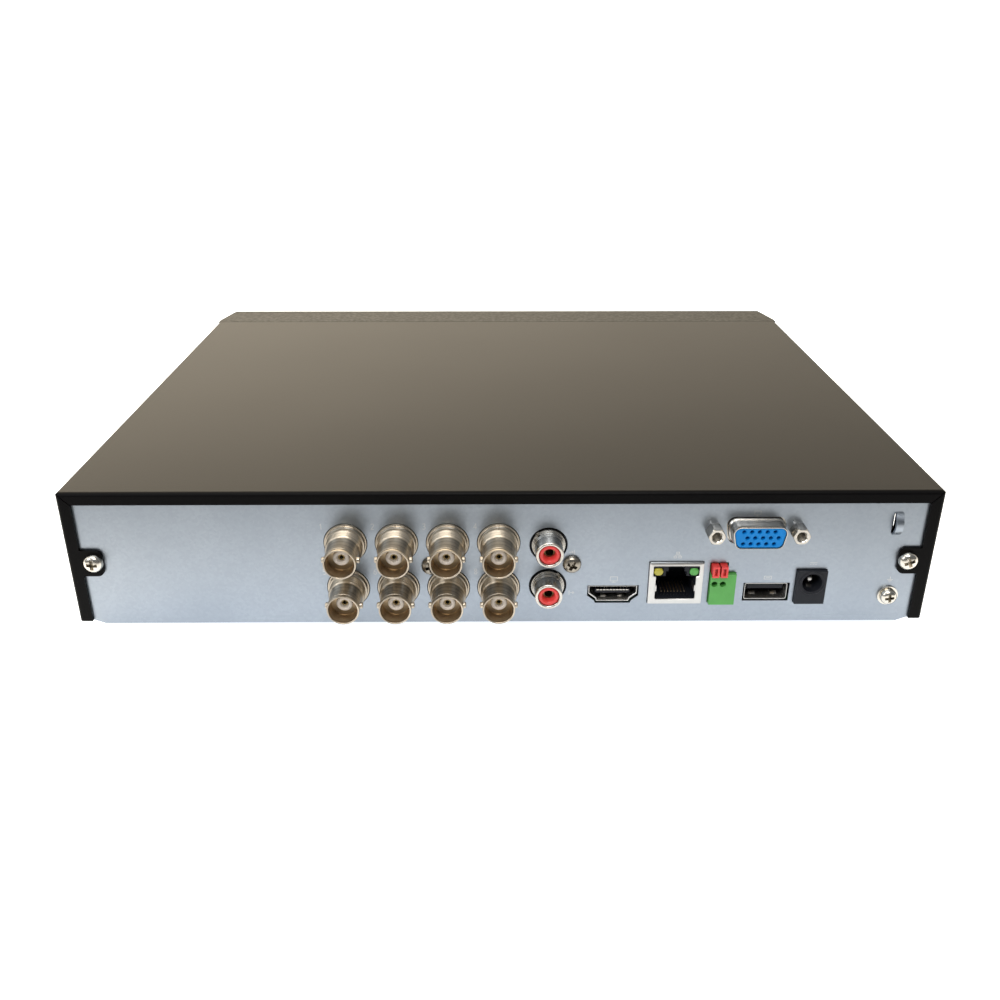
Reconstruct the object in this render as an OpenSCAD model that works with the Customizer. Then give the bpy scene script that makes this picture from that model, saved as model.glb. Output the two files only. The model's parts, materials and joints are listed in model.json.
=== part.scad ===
// Compact eight-channel video recorder in a sheet-steel case.
// The connector side faces +Y, the plastic front faces -Y, and the feet stand on z = 0.
// The origin is the middle of the footprint, on the surface that the recorder stands on.

/* [Case] */
// Overall width across the cover
case_w = 260; // [258:1:300]
// Depth from the front face to the cover's rear flange
case_d = 212.5; // [212:0.5:240]
// Height of the case without its feet
case_h = 44.6; // [44.6:0.1:60]
// Thickness of the painted cover sheet
cover_t = 0.8; // [0.6:0.1:1]
// Thickness of the galvanised base sheet
base_t = 0.8; // [0.6:0.1:1]
// Width of the cover's flange beside the rear panel
flange_side = 4; // [3:0.1:5]
// Height of the cover's flange above the rear panel
flange_top = 3.9; // [3:0.1:5]

/* [Front] */
// Depth of the plastic front
bezel_d = 21; // [18:0.5:24]
// How much each side of the front tapers in
bezel_taper = 3.9; // [1:0.1:6]
// Wall of the plastic front
bezel_wall = 2; // [1.6:0.1:2.4]

/* [Feet] */
// Height of a rubber foot
foot_h = 3; // [2.4:0.1:4]
// Diameter of a rubber foot
foot_dia = 15; // [10:1:18]

/* [Video inputs] */
// How far a video socket stands out past the rear flange
bnc_reach = 12.5; // [12:0.1:14]
// Distance between neighbouring video sockets
bnc_pitch = 15.24; // [15:0.01:16]
// Outer diameter of a video socket's barrel
bnc_barrel = 9.6; // [9.4:0.1:9.8]

/* [Audio sockets] */
// Distance between the two audio sockets
rca_pitch = 14; // [13:0.1:15]
// Outer diameter of an audio socket's sleeve
rca_sleeve = 8.3; // [8.2:0.1:8.5]

/* [Power inlet] */
// Bore of the low-voltage inlet
jack_bore = 5.8; // [5.5:0.1:6.2]
// Diameter of the inlet's centre pin
jack_pin = 2.1; // [2:0.1:2.5]

/* [Moving parts] */
// Travel of a wire-release lever
lever_travel = 1.5; // [1:0.1:2]
// Running gap beside a lever
lever_gap = 0.1; // [0.1:0.01:0.15]

/* [Hidden] */
$fn = 48;

// Datum planes
half_w = case_w / 2;
front_y = -(case_d + bnc_reach) / 2;
seam_y = front_y + bezel_d;
back_y = front_y + case_d;
mouth_y = back_y + bnc_reach;
top_z = foot_h + case_h;
seam_gap = 0.3;
slip = 0.2;
panel_y = back_y - cover_t - slip;
panel_in = panel_y - base_t;
floor_z = foot_h + base_t;

// Cover
bend_r = 1.2;
skirt_z = foot_h + 1.3;
tab_z = [top_z - 27.5, top_z - 18.9];
tab_tip = half_w - 10.5;
tab_r = 2.2;
tab_screw = [half_w - 7.8, top_z - 22.8];
vent_len = 14;
vent_w = 2.2;
vent_pitch = 5;
mitre_gap = 0.3;

// Base
wall_x = half_w - cover_t - 0.3;
base_end_y = seam_y + 1;
rail_h = 11;
panel_top = top_z - 1.3;

// Main board
board_t = 1.6;
board_top = foot_h + 6.6;
board_under = board_top - board_t;
board_y = [20, 96.8];
board_x = [-104, 104];
wing_x = 44;
wing_y = -72;
post_r = 3;
posts = [[-99, 24], [-99, 76], [99, 24], [99, 76], [99, -67], [49, -67]];

// Machine screws: shank radius, head radius, head height
m3 = [1.45, 2.85, 2.1];
shank_gap = 0.1;

// Connector places on the rear panel
bnc_x = [for (i = [0:3]) 23.9 + (1.5 - i) * bnc_pitch];
bnc_z = [board_top + 20.94, board_top + 20.94 - bnc_pitch];
bnc_hole = 6.55;
bnc_flange_back = -1.4;
rca_x = -13.9;
rca_z = [board_top + 20.25, board_top + 20.25 - rca_pitch];
rca_hole = 5.75;
rca_reach = 7.1;
video_x = -33.95;
video_top = board_top + 6.2;
lan_x = -52.85;
lan_w = 16.5;
lan_h = 14.3;
lan_hollow = [11.9, 7.6];
lan_wall = 0.3;
term_x = [-71.05, -63.3];
term_h = 10.5;
term_out = 1.4;
lever_x = [-64.55, -67.1];
lever_w = 2.05;
lever_out = 2.3;
lever_back = 7;
lever_z = [board_top + 9.9, board_top + 13.5];
wire_z = board_top + 7.2;
wire_r = 0.95;
vga_x = -75.6;
vga_z = top_z - 13.15;
jack_spacing = 24.99;
vga_reach = 5.4;
jack_reach = 4.7;
usb_x = -80.9;
usb_w = 13.2;
usb_h = 5.7;
usb_z = board_top + 3.75;
dc_x = [-98.8, -89.6];
dc_h = 11.5;
dc_axis = [-94.4, board_top + 7.4];
loop_x = -117.5;
loop_z = [top_z - 14.3, top_z - 7.6];
loop_w = 2.2;
loop_out = 2.2;
earth = [-118.4, top_z - 35.4];
panel_screw_at = [[21.5, bnc_z[0] - 7.62], [-21.1, top_z - 24.25]];

// Disk drive: length, width and height, and the corner of its socket end
drive = [147, 101.6, 26.1];
drive_at = [21.5, -88, floor_z + 2];
drive_holes = [for (i = [41.3, 85.7], j = [3.18, 98.42]) [drive_at[0] - i, drive_at[1] + j]];
drive_boss = 5;

// Front parts
window_z = [foot_h + 15, foot_h + 31];
front_board_z = foot_h + 16;
front_board_x = [38, 120];
front_board_y = [front_y + 4, seam_y - 3];
lamp_x = [52, 60, 68];
lamp_z = front_board_z + 7;
lamp_r = 1.5;
front_usb = [104, front_board_z + 4.65];
bezel_posts = [[44, seam_y - 8], [86, seam_y - 8]];
window_x = [-half_w + 24, half_w - 12];
ribbon_x = 76;
ribbon_w = 12;
ribbon_t = 0.8;
ribbon_plug = [15, 5, 5.5];

// Feet
foot_places = [for (x = [-108, 108], y = [seam_y + 14, 76]) [x, y]];

// Parts on the main board
cpu = [-14, 56];
cap_places = [for (i = [0:4]) [92 - i * 10, 12 - (i % 2) * 5]];
cell = [80, 62];

// Drive leads: places along y and z are measured from the drive's corner
data_y = 28;
power_y = 46;
header_at = 36.5;
header_h = 8.5;
header_w = 7;
lead_t = 1.6;
lead_top = 34;
lead_bend = 4;

// A disc or bar along +Y, between two depths
module bar_y(x, z, y0, y1, r) {
    translate([x, y0, z]) rotate([-90, 0, 0]) cylinder(h = y1 - y0, r = r);
}

// A profile drawn as (x, z), made solid between two depths
module slab_y(y0, y1) {
    translate([0, y1, 0]) rotate([90, 0, 0]) linear_extrude(y1 - y0) children();
}

// A box given by its lowest and highest corner
module block(low, high) {
    translate(low) cube(high - low);
}

// A rectangle between two corners with equal round corners
module round_rect(low, high, r) {
    translate([low[0] + r, low[1]]) square([high[0] - low[0] - 2 * r, high[1] - low[1]]);
    translate([low[0], low[1] + r]) square([high[0] - low[0], high[1] - low[1] - 2 * r]);
    for (x = [low[0] + r, high[0] - r], y = [low[1] + r, high[1] - r])
        translate([x, y]) circle(r);
}

// A slot with round ends, centred, long along x
module slot(length, width) {
    square([length - width, width], center = true);
    for (s = [-1, 1]) translate([s * (length - width) / 2, 0]) circle(width / 2);
}

// Pan-head screw along -Y with its head's seat at y = 0 and a cross in its head
module pan_screw(length, size = m3) {
    difference() {
        union() {
            rotate([-90, 0, 0]) rotate_extrude() polygon([[0, 0], [size[1], 0], [size[1], size[2] * 0.45],
                [size[1] * 0.86, size[2] * 0.78], [size[1] * 0.5, size[2]], [0, size[2]]]);
            bar_y(0, 0, -length, 0.01, size[0]);
        }
        for (a = [0, 90]) rotate([0, a, 0])
            translate([-size[1] * 0.58, size[2] * 0.35, -0.32]) cube([size[1] * 1.16, size[2], 0.64]);
    }
}

// Outer form of the cover: three crossed profiles, so every outside bend is round
module cover_form(inset, r) {
    side = half_w - inset;
    top = top_z - inset;
    back = back_y - inset;
    intersection() {
        slab_y(seam_y, back) union() {
            translate([-side, skirt_z - 1]) square([2 * side, top - r - skirt_z + 1]);
            translate([-side + r, top - r - 1]) square([2 * (side - r), r + 1]);
            for (s = [-1, 1]) translate([s * (side - r), top - r]) circle(r);
        }
        translate([0, 0, skirt_z - 1]) linear_extrude(top - skirt_z + 1) union() {
            translate([-side, seam_y]) square([2 * side, back - r - seam_y]);
            translate([-side + r, back - r - 1]) square([2 * (side - r), r + 1]);
            for (s = [-1, 1]) translate([s * (side - r), back - r]) circle(r);
        }
        translate([-side, 0, 0]) rotate([90, 0, 90]) linear_extrude(2 * side) union() {
            translate([seam_y, skirt_z - 1]) square([back - r - seam_y, top - skirt_z + 1]);
            translate([seam_y, skirt_z - 1]) square([back - seam_y, top - r - skirt_z + 1]);
            translate([back - r, top - r]) circle(r);
        }
    }
}

// The window that the cover's rear flange leaves open, with its two screw tabs
module rear_window() {
    inner_x = half_w - flange_side;
    difference() {
        translate([-inner_x, 0]) square([2 * inner_x, top_z - flange_top]);
        for (s = [0, 1]) mirror([s, 0, 0])
            round_rect([tab_tip, tab_z[0]], [half_w, tab_z[1]], tab_r);
    }
}

module top_cover() color([0.22, 0.2, 0.18]) {
    difference() {
        cover_form(0, bend_r);
        translate([0, -0.01, -0.01]) cover_form(cover_t, bend_r - cover_t);
        block([-half_w - 1, seam_y - 1, 0], [half_w + 1, back_y + 1, skirt_z]);
        slab_y(back_y - 2 * cover_t, back_y + 1) rear_window();
        for (s = [0, 1]) mirror([s, 0, 0]) {
            bar_y(tab_screw[0], tab_screw[1], back_y - 2, back_y + 1, m3[0] + shank_gap);
            // The flange's two bends meet in an open mitre
            translate([half_w - flange_side, back_y - 2 * cover_t, top_z - flange_top])
                rotate([0, -45, 0]) translate([-1, 0, -mitre_gap / 2])
                cube([flange_side * 1.3 + 1, 3, mitre_gap]);
            // Two banks of cooling slots in the side
            for (bank = [-55, 25], i = [0:9])
                translate([half_w - 2, bank + i * vent_pitch, top_z - 20])
                    rotate([90, 90, 90]) linear_extrude(3) slot(vent_len, vent_w);
        }
    }
}

module cover_screws() color([0.75, 0.73, 0.7])
    for (s = [-1, 1]) translate([s * tab_screw[0], back_y, tab_screw[1]]) pan_screw(6);

// Openings of the rear panel, drawn as (x, z)
module panel_cutouts() {
    for (x = bnc_x, z = bnc_z) translate([x, z]) circle(bnc_hole);
    for (z = rca_z) translate([rca_x, z]) circle(rca_hole);
    translate([video_x, 0]) video_outline(0.35);
    translate([lan_x - lan_w / 2 - 0.15, board_top]) square([lan_w + 0.3, lan_h + 0.15]);
    translate([term_x[0] - 0.2, board_top]) square([term_x[1] - term_x[0] + 0.4, term_h + 0.2]);
    translate([lever_x[1] - lever_w / 2 - 0.55, board_top])
        square([lever_x[0] - lever_x[1] + lever_w + 1.1, lever_z[1] - board_top + 0.55]);
    translate([usb_x - 7.1, usb_z - 3.15]) square([14.2, 6.3]);
    translate([dc_x[0] - 0.15, board_top]) square([dc_x[1] - dc_x[0] + 0.3, dc_h + 0.15]);
    translate([vga_x, vga_z]) d_outline(17.8, 16.7, 9, 2.8);
    for (s = [-1, 1]) translate([vga_x + s * jack_spacing / 2, vga_z]) circle(1.65);
    for (p = panel_screw_at) translate(p) circle(m3[0] + shank_gap);
    for (s = [-1, 1]) translate([s * tab_screw[0], tab_screw[1]]) circle(m3[0] + shank_gap);
    translate(earth) circle(m3[0] + shank_gap);
    translate([loop_x - loop_w / 2 - 0.4, loop_z[0]])
        square([loop_w + 0.8, loop_z[1] - loop_z[0]]);
}

// Outline of a D-shaped connector, widest at the top
module d_outline(wide, narrow, high, r) {
    hull() for (s = [-1, 1]) {
        translate([s * (wide / 2 - r), high / 2 - r]) circle(r);
        translate([s * (narrow / 2 - r), r - high / 2]) circle(r);
    }
}

// Outline of the digital video port, standing on the board, grown by a margin
module video_outline(grow) {
    w = 15 / 2 + grow;
    low = board_top + 0.35 - grow;
    high = video_top - 0.35 + grow;
    polygon([[-w, high], [w, high], [w, low + 2.6], [w - 2.1, low + 0.9], [w - 2.5, low],
        [2.5 - w, low], [2.1 - w, low + 0.9], [-w, low + 2.6]]);
}

// A strip lanced out of the panel, for tying a cable to
module tie_loop() {
    mid = (loop_z[0] + loop_z[1]) / 2;
    half = (loop_z[1] - loop_z[0]) / 2;
    r = (pow(half, 2) + pow(loop_out, 2)) / (2 * loop_out);
    translate([loop_x - loop_w / 2, panel_y - base_t + loop_out - r, mid]) intersection() {
        rotate([0, 90, 0]) difference() {
            cylinder(h = loop_w, r = r + base_t);
            translate([0, 0, -1]) cylinder(h = loop_w + 2, r = r);
        }
        translate([-1, r - loop_out, -half - base_t]) cube([loop_w + 2, r + 2, 2 * (half + base_t)]);
    }
}

module base_chassis() color([0.68, 0.7, 0.74]) {
    difference() {
        union() {
            block([-wall_x, base_end_y, foot_h], [wall_x, panel_y, floor_z]);
            slab_y(panel_in, panel_y) difference() {
                translate([-wall_x, foot_h]) square([2 * wall_x, panel_top - foot_h]);
                panel_cutouts();
            }
            for (s = [0, 1]) mirror([s, 0, 0])
                block([wall_x - base_t, base_end_y, foot_h], [wall_x, panel_y, foot_h + rail_h]);
            tie_loop();
            for (p = drive_holes) translate([p[0], p[1], foot_h]) cylinder(h = 2 + base_t, r = drive_boss);
        }
        // Rear corners of the floor are clipped under the cover's flange
        for (s = [0, 1]) mirror([s, 0, 0]) slab_y(panel_y - 3, panel_y + 1)
            polygon([[half_w - 7.5, foot_h - 1], [half_w, foot_h - 1], [half_w, skirt_z - 0.1],
                [half_w - 4.2, skirt_z - 0.1], [half_w - 7.5, foot_h]]);
        for (p = drive_holes) translate([p[0], p[1], -1]) cylinder(h = 9, r = 1.9);
        // Cooling slots under the board
        for (i = [0:11]) translate([-88 + i * vent_pitch, -4, foot_h - 1])
            linear_extrude(3) rotate(90) slot(26, vent_w);
        for (p = foot_places) translate([p[0], p[1], -1]) cylinder(h = 9, r = 2);
    }
}

module board_standoffs() color([0.8, 0.68, 0.4])
    for (p = posts) translate([p[0], p[1], floor_z]) difference() {
        cylinder(h = board_under - floor_z, r = post_r);
        translate([0, 0, -1]) cylinder(h = 9, r = m3[0] + shank_gap);
    }

module main_board_screws() color([0.72, 0.7, 0.66])
    for (p = posts) translate([p[0], p[1], board_top]) rotate([90, 0, 0]) pan_screw(4.6);

module main_board() color([0.08, 0.32, 0.16])
    translate([0, 0, board_under]) linear_extrude(board_t) difference() {
        union() {
            translate([board_x[0], board_y[0]])
                square([board_x[1] - board_x[0], board_y[1] - board_y[0]]);
            translate([wing_x, wing_y]) square([board_x[1] - wing_x, board_y[0] - wing_y]);
        }
        for (p = posts) translate(p) circle(m3[0] + shank_gap);
    }

// Front ---------------------------------------------------------------

// Plan of the front: full width at the seam, drawn in at the front face
module bezel_plan(inset, y0, y1) {
    wide = half_w - inset;
    narrow = half_w - bezel_taper - inset;
    polygon([[-wide, y1], [wide, y1], [wide, y1 - 3], [narrow, y0], [-narrow, y0], [-wide, y1 - 3]]);
}

module front_bezel() color([0.17, 0.17, 0.16]) {
    rear = seam_y - seam_gap;
    lip = 4;
    difference() {
        union() {
            translate([0, 0, foot_h]) linear_extrude(case_h) bezel_plan(0, front_y, rear);
            // A lip that the cover slides over
            block([-half_w + 8, rear - 1, top_z - 1.5 - bezel_wall],
                [half_w - 8, rear + lip, top_z - 1.5]);
        }
        difference() {
            translate([0, 0, foot_h + bezel_wall]) linear_extrude(case_h - 2 * bezel_wall)
                bezel_plan(bezel_wall, front_y + bezel_wall + 1.5, rear + 1);
            block([-half_w, rear - 2, top_z - 1.5 - bezel_wall], [half_w, rear + lip, top_z]);
            for (p = bezel_posts) translate([p[0], p[1], 0]) difference() {
                cylinder(h = front_board_z, r = 3);
                translate([0, 0, foot_h + bezel_wall + 1]) cylinder(h = 30, r = m3[0] - 0.05);
            }
        }
        // Shallow band across the face for the window
        block([window_x[0], front_y - 1, window_z[0]], [window_x[1], front_y + 1.2, window_z[1]]);
        front_openings();
        // Chamfers along the face's upper and lower edges
        for (s = [0, 1]) translate([-half_w - 1, front_y, foot_h + s * case_h]) mirror([0, 0, s])
            rotate([90, 0, 90]) linear_extrude(case_w + 2)
            polygon([[-1, -1], [1.2, -1], [1.2, 0], [0, 1.2], [-1, 1.2]]);
    }
}

// Holes through the face for the light pipes and the host port
module front_openings() {
    for (x = lamp_x) bar_y(x, lamp_z, front_y - 1, front_y + 9, lamp_r + 0.05);
    block([front_usb[0] - 7, front_y - 1, front_usb[1] - 3.2],
        [front_usb[0] + 7, front_y + 9, front_usb[1] + 3.2]);
}

module front_window() color([0.05, 0.05, 0.06])
    difference() {
        block([window_x[0] + 0.1, front_y + 0.2, window_z[0] + 0.1],
            [window_x[1] - 0.1, front_y + 1.2, window_z[1] - 0.1]);
        front_openings();
    }

module light_pipes() color([0.85, 0.88, 0.9])
    for (x = lamp_x) {
        bar_y(x, lamp_z, front_y + 0.3, front_y + 8.5, lamp_r);
        block([x - 1.2, front_y + 7, front_board_z + 1.6], [x + 1.2, front_y + 8.5, lamp_z]);
    }

module front_board() color([0.08, 0.32, 0.16])
    translate([0, 0, front_board_z]) linear_extrude(1.6) difference() {
        translate([front_board_x[0], front_board_y[0]])
            square([front_board_x[1] - front_board_x[0], front_board_y[1] - front_board_y[0]]);
        for (p = bezel_posts) translate(p) circle(m3[0] + shank_gap);
    }

module front_board_screws() color([0.72, 0.7, 0.66])
    for (p = bezel_posts) translate([p[0], p[1], front_board_z + 1.6])
        rotate([90, 0, 0]) pan_screw(5, [1.35, 2.5, 1.8]);

// A host port's folded shell: open mouth at y1, closed back, rolled lips left out
module usb_can(x, z, y0, y1) {
    difference() {
        slab_y(y0, y1) translate([x, z])
            round_rect([-usb_w / 2, -usb_h / 2], [usb_w / 2, usb_h / 2], 0.6);
        slab_y(y0 + 0.3, y1 + 1) translate([x, z])
            round_rect([-usb_w / 2 + 0.35, -usb_h / 2 + 0.35], [usb_w / 2 - 0.35, usb_h / 2 - 0.35], 0.3);
    }
}

module front_usb_shell() color([0.8, 0.8, 0.8]) mirror([0, 1, 0])
    usb_can(front_usb[0], front_usb[1], -front_y - 14, -front_y - 0.3);

module front_usb_tongue() color([0.92, 0.92, 0.9]) {
    block([front_usb[0] - 5.6, front_y + 1.4, front_usb[1] + 0.25],
        [front_usb[0] + 5.6, front_y + 10, front_usb[1] + 2.1]);
    block([front_usb[0] - 6, front_y + 10, front_usb[1] - 2.3],
        [front_usb[0] + 6, front_y + 13.6, front_usb[1] + 2.3]);
}

// Flat ribbon from the main board's wing, along the floor and up to the front board
module front_ribbon() color([0.85, 0.85, 0.86]) {
    low = floor_z + 0.2;
    rear_plug = [wing_y + 2, board_top];
    front_plug = [front_board_y[1] - 6, front_board_z + 1.6];
    down_y = wing_y - 6;
    up_y = base_end_y + 0.3;
    left = ribbon_x - ribbon_w / 2;
    right = ribbon_x + ribbon_w / 2;
    for (p = [rear_plug, front_plug])
        translate([ribbon_x - ribbon_plug[0] / 2, p[0], p[1]]) cube(ribbon_plug);
    block([left, down_y, board_top + 3], [right, rear_plug[0], board_top + 3 + ribbon_t]);
    block([left, down_y, low], [right, down_y + ribbon_t, board_top + 3]);
    block([left, up_y, low], [right, down_y, low + ribbon_t]);
    block([left, up_y, low + ribbon_t], [right, up_y + ribbon_t, front_plug[1] + 3]);
    block([left, front_plug[0] + ribbon_plug[1], front_plug[1] + 3 - ribbon_t],
        [right, up_y, front_plug[1] + 3]);
}

// Feet ----------------------------------------------------------------

module rubber_feet() color([0.06, 0.06, 0.06])
    for (p = foot_places) translate([p[0], p[1], 0]) difference() {
        rotate_extrude() polygon([[0, 0], [foot_dia / 2 - 1.2, 0], [foot_dia / 2 - 0.4, 0.5],
            [foot_dia / 2, foot_h], [0, foot_h]]);
        translate([0, 0, -1]) cylinder(h = 2, r = 3);
        translate([0, 0, -1]) cylinder(h = 9, r = 2);
    }

module foot_rivets() color([0.12, 0.12, 0.12])
    for (p = foot_places) translate([p[0], p[1], 0.3]) rotate_extrude()
        polygon([[0, 0], [2.8, 0], [2.8, 0.7], [1.95, 0.7], [1.95, floor_z - 0.3],
            [2.9, floor_z - 0.3], [2.2, floor_z + 1.2], [0, floor_z + 1.2]]);

// Parts on the main board -----------------------------------------------

module processor() color([0.13, 0.13, 0.14])
    block([cpu[0] - 10, cpu[1] - 10, board_top], [cpu[0] + 10, cpu[1] + 10, board_top + 1.8]);

module heatsink() color([0.55, 0.57, 0.6]) {
    low = board_top + 1.8;
    block([cpu[0] - 19, cpu[1] - 19, low], [cpu[0] + 19, cpu[1] + 19, low + 2.4]);
    for (i = [0:9]) translate([cpu[0] - 19 + i * 4.08, cpu[1] - 19, low + 2.4]) cube([1.2, 38, 9]);
}

// Memory beside the processor, and one video decoder behind each pair of sockets
module board_chips() color([0.1, 0.1, 0.11]) {
    for (i = [0:1], j = [0:1]) translate([-58 + i * 14, 34 + j * 18, board_top]) cube([9, 14, 1.1]);
    for (x = bnc_x) translate([x - 4.5, 62, board_top]) cube([9, 9, 1.3]);
}

module capacitors() color([0.12, 0.14, 0.2])
    for (p = cap_places) translate([p[0], p[1], board_top]) difference() {
        cylinder(h = 11.5, r = 4);
        for (a = [0, 90]) rotate(a) translate([-3, -0.15, 11.1]) cube([6, 0.3, 1]);
    }

module inductors() color([0.25, 0.25, 0.26])
    for (i = [0:3]) translate([58 + i * 10, 32, board_top]) difference() {
        cube([7.5, 7.5, 4]);
        translate([3.75, 3.75, 3.4]) cylinder(h = 2, r = 2.6);
    }

module coin_cell_holder() color([0.1, 0.1, 0.1]) translate([cell[0], cell[1], board_top])
    difference() {
        cylinder(h = 4.2, r = 12);
        translate([0, 0, 0.9]) cylinder(h = 9, r = 10.2);
        translate([-20, -4, 1.8]) cube([40, 8, 9]);
    }

module coin_cell() color([0.8, 0.8, 0.8])
    translate([cell[0], cell[1], board_top + 0.9]) rotate_extrude()
    polygon([[0, 0], [8.6, 0], [8.9, 0.5], [10, 0.5], [10, 3], [9.8, 3.2], [0, 3.2]]);

module buzzer() color([0.08, 0.08, 0.08]) translate([-38, 28, board_top]) difference() {
    cylinder(h = 8.5, r = 6);
    translate([0, 0, 5]) cylinder(h = 9, r = 1.1);
}

module network_transformer() color([0.1, 0.1, 0.1])
    block([lan_x - 8.5, 67, board_top], [lan_x + 8.5, 77, board_top + 6]);

// Drive and its leads -----------------------------------------------------
// Drawn from the drive's socket end, with x running into the drive

module from_drive() translate(drive_at) mirror([1, 0, 0]) children();

// A board header under a lead, this wide along y
module lead_header(y, width) from_drive()
    translate([-header_at - header_w / 2, y - width / 2, board_top - drive_at[2]])
    cube([header_w, width, header_h]);

module sata_header() color([0.1, 0.1, 0.1]) lead_header(data_y, 16);

module power_header() color([0.9, 0.9, 0.86]) lead_header(power_y + 5, 18);

module drive_case() color([0.62, 0.63, 0.65]) difference() {
    from_drive() difference() {
        cube([drive[0], drive[1], drive[2] - 1.8]);
        block([-1, 6, -1], [drive[0] - 34, drive[1] - 6, 1.8]);
        block([-1, 19, -1], [7, 69, 6.6]);
        for (x = [28.5, 70, 130], y = [-1, drive[1] - 3]) translate([x, y, 6.35])
            rotate([-90, 0, 0]) cylinder(h = 4, r = 1.6);
        // Stepped ledge around the cover plate
        difference() {
            block([-1, -1, drive[2] - 4.2], [drive[0] + 1, drive[1] + 1, drive[2]]);
            block([3, 2, 0], [drive[0] - 3, drive[1] - 2, drive[2]]);
        }
    }
    for (p = drive_holes) translate([p[0], p[1], 0]) cylinder(h = drive_at[2] + 5, r = 1.75);
}

module drive_lid() color([0.78, 0.78, 0.78]) from_drive() translate([0, 0, drive[2] - 1.8]) {
    linear_extrude(1) round_rect([4, 3], [drive[0] - 4, drive[1] - 3], 5);
    translate([94, drive[1] / 2, 1]) cylinder(h = 0.8, r = 42);
    translate([14, drive[1] / 2 - 34, 1]) linear_extrude(0.8) round_rect([0, 0], [32, 68], 8);
}

module drive_board() color([0.1, 0.34, 0.2]) from_drive()
    block([8, 7, 0.2], [drive[0] - 36, drive[1] - 7, 1.8]);

module drive_screws() color([0.72, 0.7, 0.66])
    for (p = drive_holes) translate([p[0], p[1], foot_h])
        rotate([-90, 0, 0]) pan_screw(7, [1.7, 3.2, 1.7]);

// A quarter of a ring about the origin, in the first quadrant before it is turned
module quarter_band(r, a) rotate(a) intersection() {
    difference() {
        circle(r + lead_t);
        circle(r);
    }
    square(r + 2 * lead_t);
}

// One conductor: out of the drive's plug, up, over and down into a header's plug
module lead_path(y0, y1) {
    plug_end = -8;
    low = 3;
    small = 2;
    rise_x = plug_end - 4 - small - lead_t;
    drop_x = -header_at - lead_t / 2;
    over_z = lead_top - lead_bend - lead_t;
    slab_y(y0, y1) {
        translate([plug_end - 4, low]) square([4, lead_t]);
        translate([plug_end - 4, low + lead_t + small]) quarter_band(small, 180);
        translate([rise_x, low + lead_t + small]) square([lead_t, over_z - low - lead_t - small]);
        translate([rise_x - lead_bend, over_z]) quarter_band(lead_bend, 0);
        translate([drop_x + lead_t + lead_bend, lead_top - lead_t])
            square([rise_x - drop_x - lead_t - 2 * lead_bend, lead_t]);
        translate([drop_x + lead_t + lead_bend, over_z]) quarter_band(lead_bend, 90);
        translate([drop_x, 22]) square([lead_t, over_z - 22]);
    }
}

// The plug on the drive and the plug on the board, each this wide along y
module lead_plugs(y, drive_plug, board_plug) {
    block([-8, y - drive_plug / 2, 0.4], [6, y + drive_plug / 2, 6.2]);
    translate([-header_at - 3.4, y - board_plug / 2, board_top + header_h - drive_at[2]])
        cube([6.8, board_plug, 22 - board_top - header_h + drive_at[2]]);
}

module data_lead() color([0.75, 0.1, 0.08]) from_drive() {
    lead_plugs(data_y, 13, 13);
    lead_path(data_y - 4, data_y + 4);
}

module power_lead() color([0.85, 0.7, 0.15]) from_drive() {
    lead_plugs(power_y + 5, 22, 16);
    for (i = [0:3]) lead_path(power_y - 1.8 + i * 4, power_y - 0.2 + i * 4);
}

// Video and audio sockets ----------------------------------------------------

module bnc_block() color([0.12, 0.12, 0.12]) difference() {
    for (x = bnc_x) block([x - 7.4, panel_y - 20, board_top],
        [x + 7.4, panel_y + bnc_flange_back, bnc_z[0] + 6.9]);
    for (x = bnc_x, z = bnc_z) bar_y(x, z, panel_y - 12, panel_y, 3);
    translate([panel_screw_at[0][0], 0, panel_screw_at[0][1]]) bar_y(0, 0, panel_y - 9, panel_y, 1.7);
}

// One video socket about the +Z axis, with z = 0 on the rear panel's outer face
module bnc_shell() {
    barrel = bnc_barrel / 2;
    mouth = mouth_y - panel_y;
    rib = [for (i = [0:2]) each [[5.5, 2.3 + i * 0.9], [5.5, 2.7 + i * 0.9],
        [5.25, 2.85 + i * 0.9], [5.25, 3.05 + i * 0.9]]];
    rotate_extrude() polygon(concat(
        [[2.4, bnc_flange_back], [6.2, bnc_flange_back], [6.35, 0.15], [6.2, 0.35], [5.75, 0.35],
         [5.65, 1.6], [5.3, 1.8], [5.3, 2.2]],
        rib,
        [[barrel, 5.4], [barrel, mouth - 0.35], [barrel - 0.2, mouth], [4.35, mouth],
         [4.2, mouth - 0.2], [4.2, mouth - 4.8], [3.6, mouth - 4.8], [3.6, 4.6], [2.4, 4.6]]));
    for (s = [-1, 1]) translate([0, 0, mouth - 3.1]) rotate([0, s * 90, 0])
        translate([0, 0, barrel - 0.3]) cylinder(h = 1.1, r = 0.95);
}

module at_bnc() {
    for (x = bnc_x, z = bnc_z) translate([x, panel_y, z]) rotate([-90, 0, 0]) children();
}

module bnc_shells() color([0.66, 0.62, 0.55]) at_bnc() bnc_shell();

module bnc_insulators() color([0.86, 0.83, 0.76]) at_bnc() difference() {
    translate([0, 0, bnc_flange_back - 2]) cylinder(h = mouth_y - panel_y - bnc_flange_back - 2.9, r = 2.4);
    translate([0, 0, bnc_flange_back - 3]) cylinder(h = 30, r = 1.05);
}

module bnc_contacts() color([0.35, 0.3, 0.2]) at_bnc() difference() {
    translate([0, 0, bnc_flange_back - 6]) cylinder(h = mouth_y - panel_y - bnc_flange_back + 0.7, r = 1);
    translate([0, 0, 2]) cylinder(h = 30, r = 0.6);
}

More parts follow.
